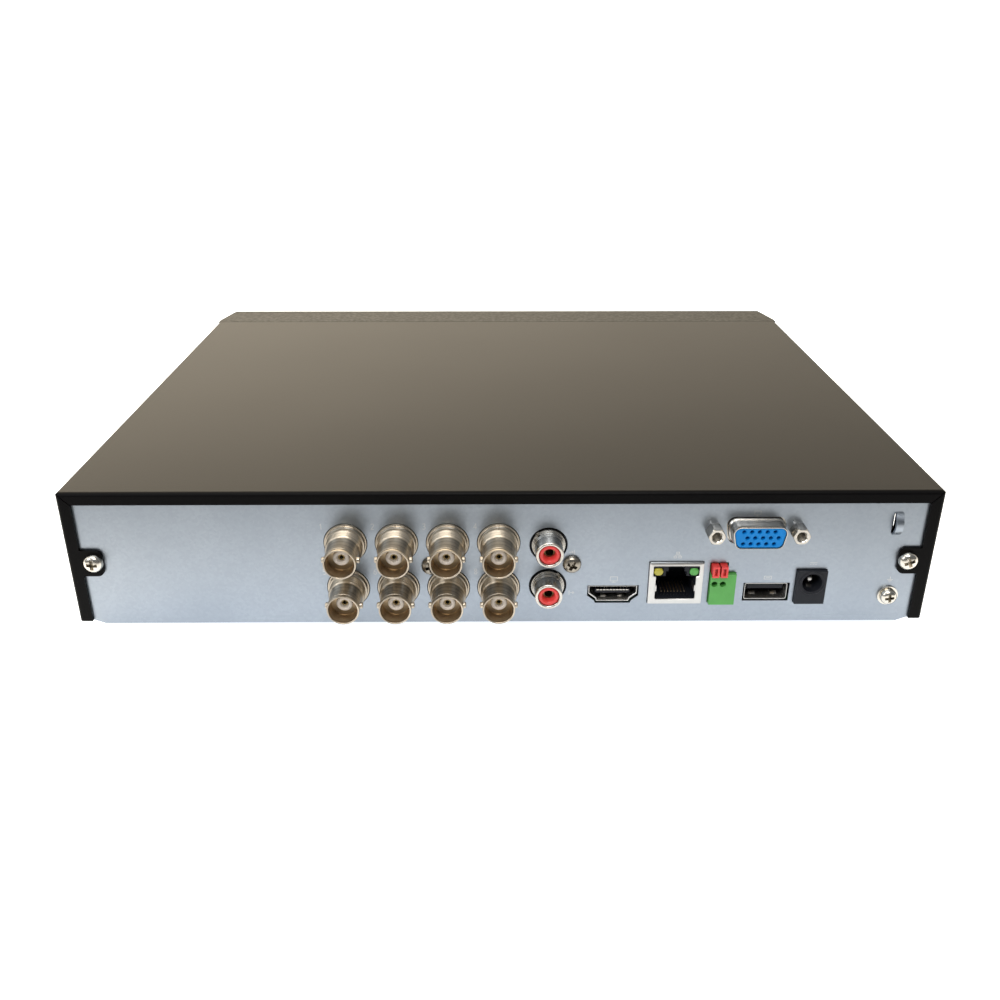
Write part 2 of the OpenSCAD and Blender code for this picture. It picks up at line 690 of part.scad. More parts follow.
module rca_block() color([0.1, 0.1, 0.1]) difference() {
    union() {
        block([rca_x - 6.3, panel_y - 15, board_top], [rca_x + 6.3, panel_in - 0.6, rca_z[0] + 6.6]);
        block([rca_x - 10.6, panel_in - 5, rca_z[1] + 2], [rca_x - 6.3, panel_in, rca_z[0] - 2]);
    }
    for (z = rca_z) bar_y(rca_x, z, panel_y - 10, panel_y, 2.2);
    bar_y(panel_screw_at[1][0], panel_screw_at[1][1], panel_in - 7, panel_y, 1.7);
}

module rca_shells() color([0.7, 0.68, 0.63])
    for (i = [0:1]) translate([rca_x, panel_y, rca_z[i]]) rotate([-90, 0, 0]) difference() {
        sleeve = rca_sleeve / 2;
        rotate_extrude() polygon([[3.15, -1.4], [5.05, -1.4], [5.05, 0.3], [4.95, 0.7], [4.75, 0.9],
            [4.5, 1.6], [sleeve + 0.15, 1.9], [sleeve, 2.4], [sleeve, rca_reach - 0.3],
            [sleeve - 0.25, rca_reach], [3.4, rca_reach], [3.15, rca_reach - 0.3]]);
        // The locating notch of each flange faces the outer upper corner
        rotate([0, 0, i == 0 ? -42 : -138]) translate([4.5, -0.6, -0.4]) cube([3, 1.2, 3]);
    }

module rca_insulators() color([0.8, 0.12, 0.12])
    for (z = rca_z) translate([rca_x, panel_y, z]) rotate([-90, 0, 0]) rotate_extrude()
        polygon([[1.65, -1.4], [3.1, -1.4], [3.1, rca_reach - 0.7], [2.8, rca_reach - 0.25],
            [2.1, rca_reach - 0.25], [1.65, rca_reach - 0.8]]);

module panel_screws() color([0.5, 0.48, 0.44])
    for (p = panel_screw_at) translate([p[0], panel_y, p[1]]) pan_screw(5, [1.4, 2.8, 1.8]);

// Digital ports ----------------------------------------------------------------

module video_port_shell() color([0.75, 0.75, 0.74]) difference() {
    slab_y(panel_y - 12, panel_y - 0.5) translate([video_x, 0]) video_outline(0);
    slab_y(panel_y - 11.6, panel_y + 1) translate([video_x, 0]) video_outline(-0.35);
}

module video_port_tongue() color([0.06, 0.06, 0.06]) {
    mid = (board_top + video_top) / 2 + 0.35;
    block([video_x - 5, panel_y - 11.6, board_top + 1.7],
        [video_x + 5, panel_y - 8, video_top - 0.75]);
    block([video_x - 5.4, panel_y - 8, mid - 0.6], [video_x + 5.4, panel_y - 1.2, mid + 0.6]);
}

module network_shield() color([0.82, 0.82, 0.8]) difference() {
    low = [lan_x - lan_w / 2, panel_y - 20, board_top + 0.05];
    high = [lan_x + lan_w / 2, panel_y + 0.8, board_top + lan_h];
    block(low, high);
    block(low + [lan_wall, lan_wall, lan_wall], high - [lan_wall, lan_wall, lan_wall]);
    // Face window, wider at the top for the lamps
    block([lan_x - 6.1, panel_y, board_top + 1.7], [lan_x + 6.1, panel_y + 2, board_top + lan_h - 1.2]);
    block([lan_x - 6.95, panel_y, board_top + 9.6], [lan_x + 6.95, panel_y + 2, board_top + lan_h - 1.2]);
}

module lan_cavity(y0, y1) {
    low = board_top + 2;
    slab_y(y0, y1) translate([lan_x, 0]) union() {
        translate([-lan_hollow[0] / 2, low]) square([lan_hollow[0], lan_hollow[1]]);
        translate([-3.1, low]) square([6.2, lan_hollow[1] + 1.6]);
        translate([-2.4, low]) square([4.8, lan_hollow[1] + 3]);
    }
}

module lamp_box(s, grow) {
    x = lan_x + s * 5.4;
    block([x - 1.4 - grow, panel_y - 8, board_top + 9.85 - grow],
        [x + 1.4 + grow, panel_y + 0.9 + grow, board_top + 12.35 + grow]);
}

module network_housing() color([0.07, 0.07, 0.07]) difference() {
    block([lan_x - lan_w / 2 + lan_wall, panel_y - 20 + lan_wall, board_top + 0.05 + lan_wall],
        [lan_x + lan_w / 2 - lan_wall, panel_y + 0.5, board_top + lan_h - lan_wall]);
    lan_cavity(panel_y - 13, panel_y + 2);
    for (s = [-1, 1]) lamp_box(s, 0.02);
}

module network_lamps() color([0.8, 0.75, 0.1]) for (s = [-1, 1]) lamp_box(s, 0);

// Spring terminal ----------------------------------------------------------------

module terminal_body() color([0.25, 0.6, 0.3]) difference() {
    union() {
        block([term_x[0], panel_y - 11, board_top], [term_x[1], panel_y + term_out, board_top + term_h]);
        block([lever_x[1] - lever_w / 2 - 0.9, panel_y - 11, board_top + term_h],
            [term_x[1], panel_in - 0.5, lever_z[1] + 0.9]);
    }
    for (x = lever_x) {
        bar_y(x, wire_z, panel_y - 8, panel_y + 3, wire_r);
        // Guide of the lever, open to the rear and deeper than its travel
        guide_y = panel_y - lever_back - lever_travel - 0.5;
        block([x - lever_w / 2 - lever_gap, guide_y, lever_z[0] - lever_gap],
            [x + lever_w / 2 + lever_gap, panel_y + 3, lever_z[1] + lever_gap]);
        // Chamber of the clamp spring
        block([x - 0.95, panel_y - 8, wire_z + 0.3], [x + 0.95, panel_y - 2, lever_z[0]]);
    }
}

module terminal_lever(x) difference() {
    union() {
        block([x - lever_w / 2, panel_y - lever_back, lever_z[0]],
            [x + lever_w / 2, panel_y + lever_out, lever_z[1]]);
        block([x - 0.7, panel_y - 6.4, lever_z[0] - 0.8], [x + 0.7, panel_y - 4.6, lever_z[0]]);
    }
    // Slot for a screwdriver's tip
    block([x - 0.45, panel_y + 1.2, lever_z[0] + 0.6], [x + 0.45, panel_y + 3, lever_z[1] - 0.6]);
}

module terminal_lever_a() color([0.8, 0.15, 0.12]) terminal_lever(lever_x[0]);

module terminal_lever_b() color([0.8, 0.15, 0.12]) terminal_lever(lever_x[1]);

module terminal_springs() color([0.8, 0.8, 0.8])
    for (x = lever_x) translate([x + 0.8, panel_y, wire_z + 0.4]) rotate([90, 0, -90]) linear_extrude(1.6)
        polygon([[2.1, 0], [2.1, 1.1], [2.4, 1.1], [2.4, 0.3], [7.6, 0.3], [7.6, 1.2], [7.9, 1.2], [7.9, 0]]);

// Host port, power inlet and analogue port ------------------------------------------

module usb_shell() color([0.78, 0.78, 0.77]) usb_can(usb_x, usb_z, panel_y - 13.5, panel_y - 0.4);

module usb_tongue() color([0.05, 0.05, 0.05]) {
    block([usb_x - 5.6, panel_y - 9.5, usb_z + 0.25], [usb_x + 5.6, panel_y - 1, usb_z + 2.1]);
    block([usb_x - 6, panel_y - 13.2, usb_z - 2.3], [usb_x + 6, panel_y - 9.5, usb_z + 2.3]);
}

module power_jack_body() color([0.1, 0.1, 0.12]) difference() {
    block([dc_x[0], panel_y - 13.5, board_top], [dc_x[1], panel_y + 1.3, board_top + dc_h]);
    bar_y(dc_axis[0], dc_axis[1], panel_y - 10, panel_y + 2, jack_bore / 2);
}

module power_jack_pin() color([0.8, 0.8, 0.8]) {
    bar_y(dc_axis[0], dc_axis[1], panel_y - 10, panel_y - 1.9, jack_pin / 2);
    translate([dc_axis[0], panel_y - 1.9, dc_axis[1]]) rotate([-90, 0, 0])
        rotate_extrude() polygon([[0, 0], [jack_pin / 2, 0], [jack_pin / 2 - 0.2, 0.5], [0, 0.8]]);
}

module vga_shell() color([0.72, 0.7, 0.66]) {
    difference() {
        union() {
            translate([vga_x, 0, vga_z]) slab_y(panel_y - 1.2, panel_y - base_t - 0.05)
                round_rect([-15.4, -6.2], [15.4, 6.2], 1.2);
            translate([vga_x, 0, vga_z]) slab_y(panel_y - 1.2, panel_y + 0.6) d_outline(17, 15.9, 8.3, 2.6);
            translate([vga_x, 0, vga_z]) slab_y(panel_y, panel_y + vga_reach) d_outline(15.9, 14.8, 7.2, 2.2);
        }
        translate([vga_x, 0, vga_z]) slab_y(panel_y - 2, panel_y + vga_reach + 1)
            d_outline(15.1, 14, 6.4, 1.8);
        for (s = [-1, 1]) bar_y(vga_x + s * jack_spacing / 2, vga_z, panel_y - 3, panel_y, 1.55);
    }
}

// Hexagonal jack screws, threaded for the plug's thumbscrews
module jack_screws() color([0.74, 0.72, 0.68])
    for (s = [-1, 1]) translate([vga_x + s * jack_spacing / 2, panel_y, vga_z])
        rotate([-90, 30, 0]) difference() {
            union() {
                cylinder(h = jack_reach, r = 2.75, $fn = 6);
                translate([0, 0, -7]) cylinder(h = 7.01, r = 1.5);
            }
            translate([0, 0, 0.5]) cylinder(h = 9, r = 1.42);
        }

// Fifteen contact holes in three staggered rows
module vga_insert() color([0.1, 0.35, 0.75]) difference() {
    translate([vga_x, 0, vga_z]) slab_y(panel_y - 3, panel_y + vga_reach - 0.15)
        d_outline(15, 13.9, 6.3, 1.75);
    for (row = [-1:1], i = [-2:2])
        bar_y(vga_x + i * 2.29 - (row == 0 ? 1.14 : 0) + 0.3, vga_z + row * 1.98,
            panel_y + 1, panel_y + vga_reach + 1, 0.5);
}

module vga_riser() color([0.09, 0.09, 0.1]) {
    difference() {
        block([vga_x - 15.2, panel_y - 15.5, vga_z - 5.8], [vga_x + 15.2, panel_y - 3, vga_z + 5.8]);
        for (s = [-1, 1]) bar_y(vga_x + s * jack_spacing / 2, vga_z, panel_y - 9, panel_y, 1.6);
    }
    block([vga_x - 14.2, panel_y - 17.1, board_top], [vga_x + 14.2, panel_y - 15.5, vga_z + 5.8]);
}

module earth_washer() color([0.75, 0.74, 0.7]) translate([earth[0], panel_y + 0.02, earth[1]])
    rotate([-90, 0, 0]) difference() {
        cylinder(h = 0.6, r = 3.1);
        translate([0, 0, -1]) cylinder(h = 3, r = m3[0] + 0.1);
    }

module earth_screw() color([0.78, 0.76, 0.72])
    translate([earth[0], panel_y + 0.64, earth[1]]) pan_screw(7, [m3[0], 2.5, 2]);

base_chassis();
board_standoffs();
top_cover();
cover_screws();
front_bezel();
front_window();
light_pipes();
front_board();
front_usb_shell();
front_usb_tongue();
front_board_screws();
front_ribbon();
rubber_feet();
foot_rivets();
main_board();
main_board_screws();
processor();
heatsink();
board_chips();
capacitors();
inductors();
coin_cell();
coin_cell_holder();
buzzer();
network_transformer();
sata_header();
power_header();
drive_case();
drive_lid();
drive_board();
drive_screws();
data_lead();
power_lead();
bnc_block();
bnc_shells();
bnc_insulators();
bnc_contacts();
rca_block();
rca_shells();
rca_insulators();
panel_screws();
video_port_shell();
video_port_tongue();
network_shield();
network_housing();
network_lamps();
terminal_body();
terminal_lever_a();
terminal_lever_b();
terminal_springs();
usb_shell();
usb_tongue();
power_jack_body();
power_jack_pin();
vga_shell();
vga_insert();
jack_screws();
vga_riser();
earth_washer();
earth_screw();
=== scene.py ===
"""Looks of a compact eight-channel video recorder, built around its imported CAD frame.

Metres, +Z up. The connector side faces +Y, the plastic front faces -Y, the feet stand on z = 0.
Pieces on the connector side are drawn as seen face-on from behind the recorder, in millimetres:
x to the right, y up, z out towards the viewer.
"""
import json
import math
import random

import bmesh
import bpy
from mathutils import Matrix, Vector

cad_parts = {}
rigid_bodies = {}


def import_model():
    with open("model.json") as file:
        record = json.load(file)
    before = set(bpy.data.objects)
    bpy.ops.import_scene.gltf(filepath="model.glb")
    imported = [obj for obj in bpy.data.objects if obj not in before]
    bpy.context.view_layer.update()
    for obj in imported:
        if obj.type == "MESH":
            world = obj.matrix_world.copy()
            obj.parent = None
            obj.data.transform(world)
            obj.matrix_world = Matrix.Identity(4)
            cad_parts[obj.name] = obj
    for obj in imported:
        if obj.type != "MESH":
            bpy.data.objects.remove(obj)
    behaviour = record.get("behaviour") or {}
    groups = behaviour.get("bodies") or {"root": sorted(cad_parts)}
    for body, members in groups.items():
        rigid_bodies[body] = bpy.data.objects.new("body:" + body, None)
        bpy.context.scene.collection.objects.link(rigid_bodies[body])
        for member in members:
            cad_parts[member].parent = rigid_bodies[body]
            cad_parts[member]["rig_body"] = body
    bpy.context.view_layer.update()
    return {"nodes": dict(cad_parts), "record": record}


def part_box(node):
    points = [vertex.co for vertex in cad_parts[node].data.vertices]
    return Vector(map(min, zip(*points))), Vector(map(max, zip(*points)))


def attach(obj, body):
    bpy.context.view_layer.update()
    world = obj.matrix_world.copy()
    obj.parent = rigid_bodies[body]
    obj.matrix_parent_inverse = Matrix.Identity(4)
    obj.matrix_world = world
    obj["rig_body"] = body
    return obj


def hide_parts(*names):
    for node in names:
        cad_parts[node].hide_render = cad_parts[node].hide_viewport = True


MM = 0.001
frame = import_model()
nodes = frame["nodes"]


# -------------------------------- camera, stage and light

# Strength of the light from beyond the front, and from behind the connectors
WORLD_BEYOND = 5.0
WORLD_BEHIND = 0.42
# How far along +Y the floor's light begins to fade, and where it is gone
FLOOR_FADE = (0.115, 0.27)


def new_object(name, data):
    thing = bpy.data.objects.new(name, data)
    bpy.context.collection.objects.link(thing)
    return thing


def camera():
    data = bpy.data.cameras.new("camera")
    data.sensor_width = 36
    data.lens = 35.38
    data.clip_start = 0.01
    eye = new_object("camera", data)
    eye.location = (0.0031, 0.3596, 0.1664)
    eye.rotation_euler = [math.radians(a) for a in (64.96, -0.06, 179.49)]
    bpy.context.scene.camera = eye


def softbox(name, at, towards, size, watts, colour):
    data = bpy.data.lights.new(name, "AREA")
    data.shape = "RECTANGLE"
    data.size, data.size_y = size
    data.energy = watts
    data.color = colour
    lamp = new_object(name, data)
    lamp.visible_camera = False
    lamp.location = at
    lamp.rotation_euler = (Vector(towards) - Vector(at)).to_track_quat("-Z", "Y").to_euler()


def stage():
    """A pale floor with a low rim, far wider than the recorder."""
    rings = [(6.0, 0.0), (6.4, 0.04), (6.7, 0.2), (6.8, 0.6)]
    spokes = 48
    turn = [2 * math.pi * i / spokes for i in range(spokes)]
    bm = bmesh.new()
    previous = [bm.verts.new((0, 0, 0))] * spokes
    for r, z in rings:
        ring = [bm.verts.new((r * math.cos(a), r * math.sin(a), z)) for a in turn]
        for i in range(spokes):
            j = (i + 1) % spokes
            corners = [previous[i], ring[i], ring[j]]
            if previous[j] != previous[i]:
                corners.append(previous[j])
            bm.faces.new(corners)
        previous = ring
    mesh = bpy.data.meshes.new("floor")
    bm.to_mesh(mesh)
    bm.free()
    mesh.shade_smooth()
    mesh.materials.append(stage_paper().mat)
    new_object("floor", mesh)


def studio_world():
    """Soft light all round: warm and strong from beyond the front, cooler and weaker from behind."""
    world = bpy.data.worlds.new("studio")
    bpy.context.scene.world = world
    world.use_nodes = True
    sky = Nodes(world.node_tree)

    def ramp(source, span, levels):
        return sky.between(source, *levels, span, "SMOOTHSTEP")

    x, y, z = sky.axes(sky.add("ShaderNodeTexCoord").outputs["Generated"])
    tone = sky.add("ShaderNodeMix", data_type="RGBA")
    tone.inputs["A"].default_value = (1.0, 0.87, 0.67, 1)
    tone.inputs["B"].default_value = (0.88, 0.94, 1.0, 1)
    sky.link(ramp(y, (-0.6, 0.3), (0, 1)), tone.inputs["Factor"])
    by_depth = ramp(y, (-0.75, 0.3), (WORLD_BEYOND, WORLD_BEHIND))
    strength = sky.product(by_depth, ramp(x, (-0.45, 0.35), (0.45, 0.93)))
    background = sky.tree.nodes["Background"]
    sky.link(tone.outputs["Result"], background.inputs["Color"])
    sky.link(sky.product(strength, ramp(z, (0.15, 0.75), (1.0, 1.2))), background.inputs["Strength"])
    # Looked at directly it is plain white, like the floor
    backdrop = sky.add("ShaderNodeBackground")
    backdrop.inputs["Color"].default_value = (1, 1, 1, 1)
    sky.choose(sky.add("ShaderNodeLightPath").outputs["Is Camera Ray"], background.outputs["Background"],
               backdrop.outputs["Background"], "World Output")


def lights():
    bpy.context.scene.view_settings.view_transform = "Standard"
    studio_world()
    softbox("overhead", (0.25, 0.35, 1.1), (0, 0.1, 0), (0.9, 0.9), 5, (1.0, 0.98, 0.95))
    softbox("rear_high", (-0.05, 0.75, 0.85), (0, 0.1, 0.02), (0.5, 0.3), 6, (1.0, 0.97, 0.93))
    softbox("rear_left", (0.55, 0.5, 0.35), (0.1, 0.15, 0), (0.3, 0.25), 1.6, (0.95, 0.98, 1.0))


# -------------------------------- materials

class Nodes:
    """A shader's node tree, and short ways to wire it."""

    def __init__(self, tree):
        self.tree = tree

    def add(self, kind, **settings):
        node = self.tree.nodes.new(kind)
        for key, value in settings.items():
            setattr(node, key, value)
        return node

    def link(self, source, target):
        self.tree.links.new(source, target)

    def between(self, pattern, low, high, span=(0.3, 0.7), easing="LINEAR"):
        node = self.add("ShaderNodeMapRange", interpolation_type=easing)
        for socket, value in zip(("From Min", "From Max", "To Min", "To Max"), (*span, low, high)):
            node.inputs[socket].default_value = value
        self.link(pattern, node.inputs["Value"])
        return node.outputs["Result"]

    def axes(self, place):
        """The x, y and z of a place."""
        node = self.add("ShaderNodeSeparateXYZ")
        self.link(place, node.inputs["Vector"])
        return [node.outputs[axis] for axis in "XYZ"]

    def product(self, a, b):
        node = self.add("ShaderNodeMath", operation="MULTIPLY")
        self.link(a, node.inputs[0])
        self.link(b, node.inputs[1])
        return node.outputs["Value"]

    def choose(self, factor, first, second, output):
        """Sends a mix of two shaders to the output."""
        node = self.add("ShaderNodeMixShader")
        for source, socket in ((factor, 0), (first, 1), (second, 2)):
            self.link(source, node.inputs[socket])
        self.link(node.outputs["Shader"], self.tree.nodes[output].inputs["Surface"])


class Surface(Nodes):
    """A procedural material built around one Principled shader. Pattern sizes are in millimetres."""

    def __init__(self, name, colour, metal=0.0, rough=0.5, specular=0.5):
        self.mat = bpy.data.materials.new(name)
        self.mat.use_nodes = True
        super().__init__(self.mat.node_tree)
        self.bsdf = self.tree.nodes["Principled BSDF"]
        self.colour = colour
        for socket, value in (("Base Color", (*colour, 1)), ("Metallic", metal), ("Roughness", rough),
                              ("Specular IOR Level", specular)):
            self.bsdf.inputs[socket].default_value = value
        self.place = self.add("ShaderNodeTexCoord").outputs["Object"]

    def spread(self, stretch):
        mapping = self.add("ShaderNodeMapping")
        mapping.inputs["Scale"].default_value = stretch
        self.link(self.place, mapping.inputs["Vector"])
        return mapping.outputs["Vector"]

    def noise(self, size, detail=3, stretch=(1, 1, 1)):
        node = self.add("ShaderNodeTexNoise")
        node.inputs["Scale"].default_value = 1 / (size * MM)
        node.inputs["Detail"].default_value = detail
        self.link(self.spread(stretch), node.inputs["Vector"])
        return node.outputs["Fac"]

    def cells(self, size, stretch=(1, 1, 1)):
        node = self.add("ShaderNodeTexVoronoi")
        node.inputs["Scale"].default_value = 1 / (size * MM)
        self.link(self.spread(stretch), node.inputs["Vector"])
        split = self.add("ShaderNodeSeparateColor")
        self.link(node.outputs["Color"], split.inputs["Color"])
        return split.outputs["Red"]

    def within(self, r):
        """1 within this many millimetres of the piece's own z axis, and 0 further out."""
        distance = self.add("ShaderNodeVectorMath", operation="LENGTH")
        self.link(self.spread((1, 1, 0)), distance.inputs[0])
        inside = self.add("ShaderNodeMath", operation="LESS_THAN")
        inside.inputs[1].default_value = r * MM
        self.link(distance.outputs["Value"], inside.inputs[0])
        return inside.outputs["Value"]

    def tint(self, pattern, other, amount=1.0, span=(0.3, 0.7)):
        """Mixes another colour over the present one where the pattern is high."""
        node = self.add("ShaderNodeMix", data_type="RGBA")
        self.link(self.between(pattern, 0, amount, span), node.inputs["Factor"])
        socket = self.bsdf.inputs["Base Color"]
        if socket.is_linked:
            self.link(socket.links[0].from_socket, node.inputs["A"])
        else:
            node.inputs["A"].default_value = (*self.colour, 1)
        node.inputs["B"].default_value = (*other, 1)
        self.link(node.outputs["Result"], socket)
        return self

    def polish(self, pattern, low, high, span=(0.3, 0.7)):
        self.link(self.between(pattern, low, high, span), self.bsdf.inputs["Roughness"])
        return self

    def relief(self, pattern, height, strength=1.0):
        """Adds a bump of this height in millimetres."""
        node = self.add("ShaderNodeBump")
        node.inputs["Strength"].default_value = strength
        node.inputs["Distance"].default_value = height * MM
        self.link(pattern, node.inputs["Height"])
        socket = self.bsdf.inputs["Normal"]
        if socket.is_linked:
            self.link(socket.links[0].from_socket, node.inputs["Normal"])
        self.link(node.outputs["Normal"], socket)
        return self


def stage_paper():
    """White to look at, while the light it gives the recorder fades away behind the connectors."""
    s = Surface("stage_paper", (0.7, 0.7, 0.7), rough=0.9, specular=0.1)
    s.bsdf.inputs["Emission Color"].default_value = (0.92, 0.96, 1, 1)
    unseen = s.between(s.add("ShaderNodeLightPath").outputs["Is Camera Ray"], 1, 0, (0, 1))
    dim = s.product(s.between(s.axes(s.place)[1], 0, 1, FLOOR_FADE), unseen)
    s.tint(dim, (0.04, 0.04, 0.04), 1, (0, 1))
    s.link(s.between(dim, 0.9, 0.08, (0, 1)), s.bsdf.inputs["Emission Strength"])
    # Clear from below, so that the underside can be seen
    s.choose(s.add("ShaderNodeNewGeometry").outputs["Backfacing"], s.bsdf.outputs["BSDF"],
             s.add("ShaderNodeBsdfTransparent").outputs["BSDF"], "Material Output")
    return s


def painted_sheet():
    s = Surface("painted_sheet", (0.0022, 0.002, 0.0022), rough=0.4, specular=0.05)
    s.tint(s.noise(60, 2), (0.003, 0.0028, 0.0028), 0.8)
    s.polish(s.noise(90, 1), 0.395, 0.41)
    return s.relief(s.noise(0.7, 2), 0.012)


def galvanised_sheet():
    s = Surface("galvanised_sheet", (0.284, 0.314, 0.353), metal=1, rough=0.36)
    s.tint(s.cells(0.8), (0.333, 0.369, 0.414), 0.5, (0, 1))
    s.tint(s.noise(26, 3, (1, 1, 0.5)), (0.234, 0.266, 0.306), 0.5)
    s.polish(s.cells(0.6), 0.33, 0.40, (0, 1))
    return s.relief(s.noise(0.5, 2), 0.004)


def plated(name, colour, rough=0.2, rings=0.0, bore=0.0):
    """Plated metal, with as much of a turning tool's darker rings round its own z axis as asked.

    Inside the bore's radius, in millimetres, the colour is darker and browner: painted shade in the socket's
    mouth."""
    s = Surface(name, colour, metal=1, rough=rough)
    s.tint(s.noise(1.6, 4), tuple(c * 0.72 for c in colour), 0.25)
    if rings:
        s.tint(s.noise(0.6, 2, (0.03, 0.03, 1)), tuple(c * 0.3 for c in colour), rings, (0.4, 0.6))
    if bore:
        # Painted shade: darker and browner inside the bore's radius, standing in for the shade in the
        # socket's mouth
        s.tint(s.within(bore), (0.33, 0.245, 0.15), 0.8, (0, 1))
    s.polish(s.noise(0.9, 3), rough * 0.96, rough * 1.05)
    return s.relief(s.noise(0.22, 2), 0.0004)


def moulded(name, colour, rough=0.45, grain=0.35, specular=0.4):
    s = Surface(name, colour, rough=rough, specular=specular)
    s.tint(s.noise(4, 3), tuple(c * 0.8 for c in colour), 0.6)
    s.polish(s.noise(1.5, 2), rough * 0.9, rough * 1.15)
    return s.relief(s.noise(grain, 2), 0.006)


# Metals by their slot's name: colour and roughness, and where turned the rings' strength and the radius of
# the bore's painted shade
PLATED = {
    "plated_screws": ((0.6, 0.565, 0.5), 0.2),
    "dark_screws": ((0.3, 0.27, 0.225), 0.28),
    "brass_posts": ((0.75, 0.58, 0.28), 0.25),
    "bright_steel": ((0.5, 0.49, 0.47), 0.3),
    "bare_aluminium": ((0.42, 0.425, 0.43), 0.35),
    "drive_steel": ((0.34, 0.34, 0.345), 0.34),
    "socket_nickel": ((0.53, 0.46, 0.365), 0.34, 0.45, 4.3),
    "contact_brass": ((0.22, 0.16, 0.075), 0.35),
    "sleeve_nickel": ((0.56, 0.53, 0.48), 0.26, 0.12),
}
# Plastics, rubber and the like: colour, roughness, size of the grain in millimetres and specular level
MOULDED = {
    "front_plastic": ((0.012, 0.0125, 0.011), 0.55, 0.35, 0.12),
    "gloss_window": ((0.006, 0.006, 0.007), 0.08, 1.5, 0.15),
    "clear_plastic": ((0.7, 0.74, 0.76), 0.15),
    "circuit_board": ((0.012, 0.09, 0.035), 0.3),
    "white_plastic": ((0.8, 0.78, 0.72),),
    "grey_ribbon": ((0.45, 0.46, 0.48),),
    "foot_rubber": ((0.014, 0.014, 0.014), 0.8),
    "black_plastic": ((0.009, 0.010, 0.0135), 0.4, 0.35, 0.17),
    "chip_epoxy": ((0.018, 0.018, 0.02), 0.5),
    "capacitor_sleeve": ((0.02, 0.025, 0.05), 0.25),
    "ferrite": ((0.06, 0.06, 0.063), 0.6),
    "red_lead": ((0.5, 0.02, 0.015), 0.4),
    "yellow_lead": ((0.7, 0.45, 0.03), 0.4),
    "cream_insulator": ((0.8, 0.73, 0.66), 0.5),
    "red_plastic": ((0.58, 0.042, 0.038), 0.35),
    "lamp_plastic": ((0.34, 0.3, 0.035), 0.25),
    "green_plastic": ((0.07, 0.28, 0.055), 0.45),
    "blue_plastic": ((0.003, 0.175, 0.5), 0.4, 0.35, 0.2),
}
MATERIALS = {"galvanised_sheet": galvanised_sheet(), "painted_sheet": painted_sheet()}
MATERIALS.update({name: plated(name, *look) for name, look in PLATED.items()})
MATERIALS.update({name: moulded(name, *look) for name, look in MOULDED.items()})


# -------------------------------- drawing tools

# A face seen from behind the recorder: x right is -X, y up is +Z, z out is +Y
REAR = Matrix(((-1, 0, 0, 0), (0, 0, 1, 0), (0, 1, 0, 0), (0, 0, 0, 1)))
# A face seen from in front: x right is +X, y up is +Z, z out is -Y
FRONT = Matrix(((1, 0, 0, 0), (0, 0, -1, 0), (0, 1, 0, 0), (0, 0, 0, 1)))
UP = Matrix.Identity(4)
DOWN = Matrix.Rotation(math.pi, 4, "X")
# Turns a side view, drawn as (out, up), so that its thickness runs across the face
ACROSS = Matrix(((0, 0, 1, 0), (0, 1, 0, 0), (1, 0, 0, 0), (0, 0, 0, 1)))


def arc(middle, r, start, end, steps=5):
    turns = [start + (end - start) * k / steps for k in range(steps + 1)]
    return [(middle[0] + r * math.cos(a), middle[1] + r * math.sin(a)) for a in turns]


def circle(r, at=(0, 0), steps=36):
    return arc(at, r, 0, 2 * math.pi, steps)[:-1]


def hexagon(flat, limit, steps=36):
    """A hexagon by the distance to its flats, with its corners cut back to a radius."""
    turns = [2 * math.pi * i / steps for i in range(steps)]
    radii = [min(flat / math.cos(a % (math.pi / 3) - math.pi / 6), limit) for a in turns]
    return [(r * math.cos(a), r * math.sin(a)) for r, a in zip(radii, turns)]


def rectangle(wide, high, r=0.3, at=(0, 0), steps=3):
    x, y = wide / 2 - r, high / 2 - r
    corners = [(x, -y), (x, y), (-x, y), (-x, -y)]
    points = []
    for i, (cx, cy) in enumerate(corners):
        start = (i - 1) * math.pi / 2
        points += arc((at[0] + cx, at[1] + cy), r, start, start + math.pi / 2, steps)
    return points


def d_outline(top, bottom, high, r):
    """The outline of a D-shaped connector, widest at the top."""
    upper, lower = (top / 2 - r, high / 2 - r), (bottom / 2 - r, r - high / 2)
    lean = math.atan2(upper[1] - lower[1], upper[0] - lower[0]) - math.pi / 2
    right = arc(lower, r, -math.pi / 2, lean) + arc(upper, r, lean, math.pi / 2)
    return right + [(-x, y) for x, y in reversed(right)]


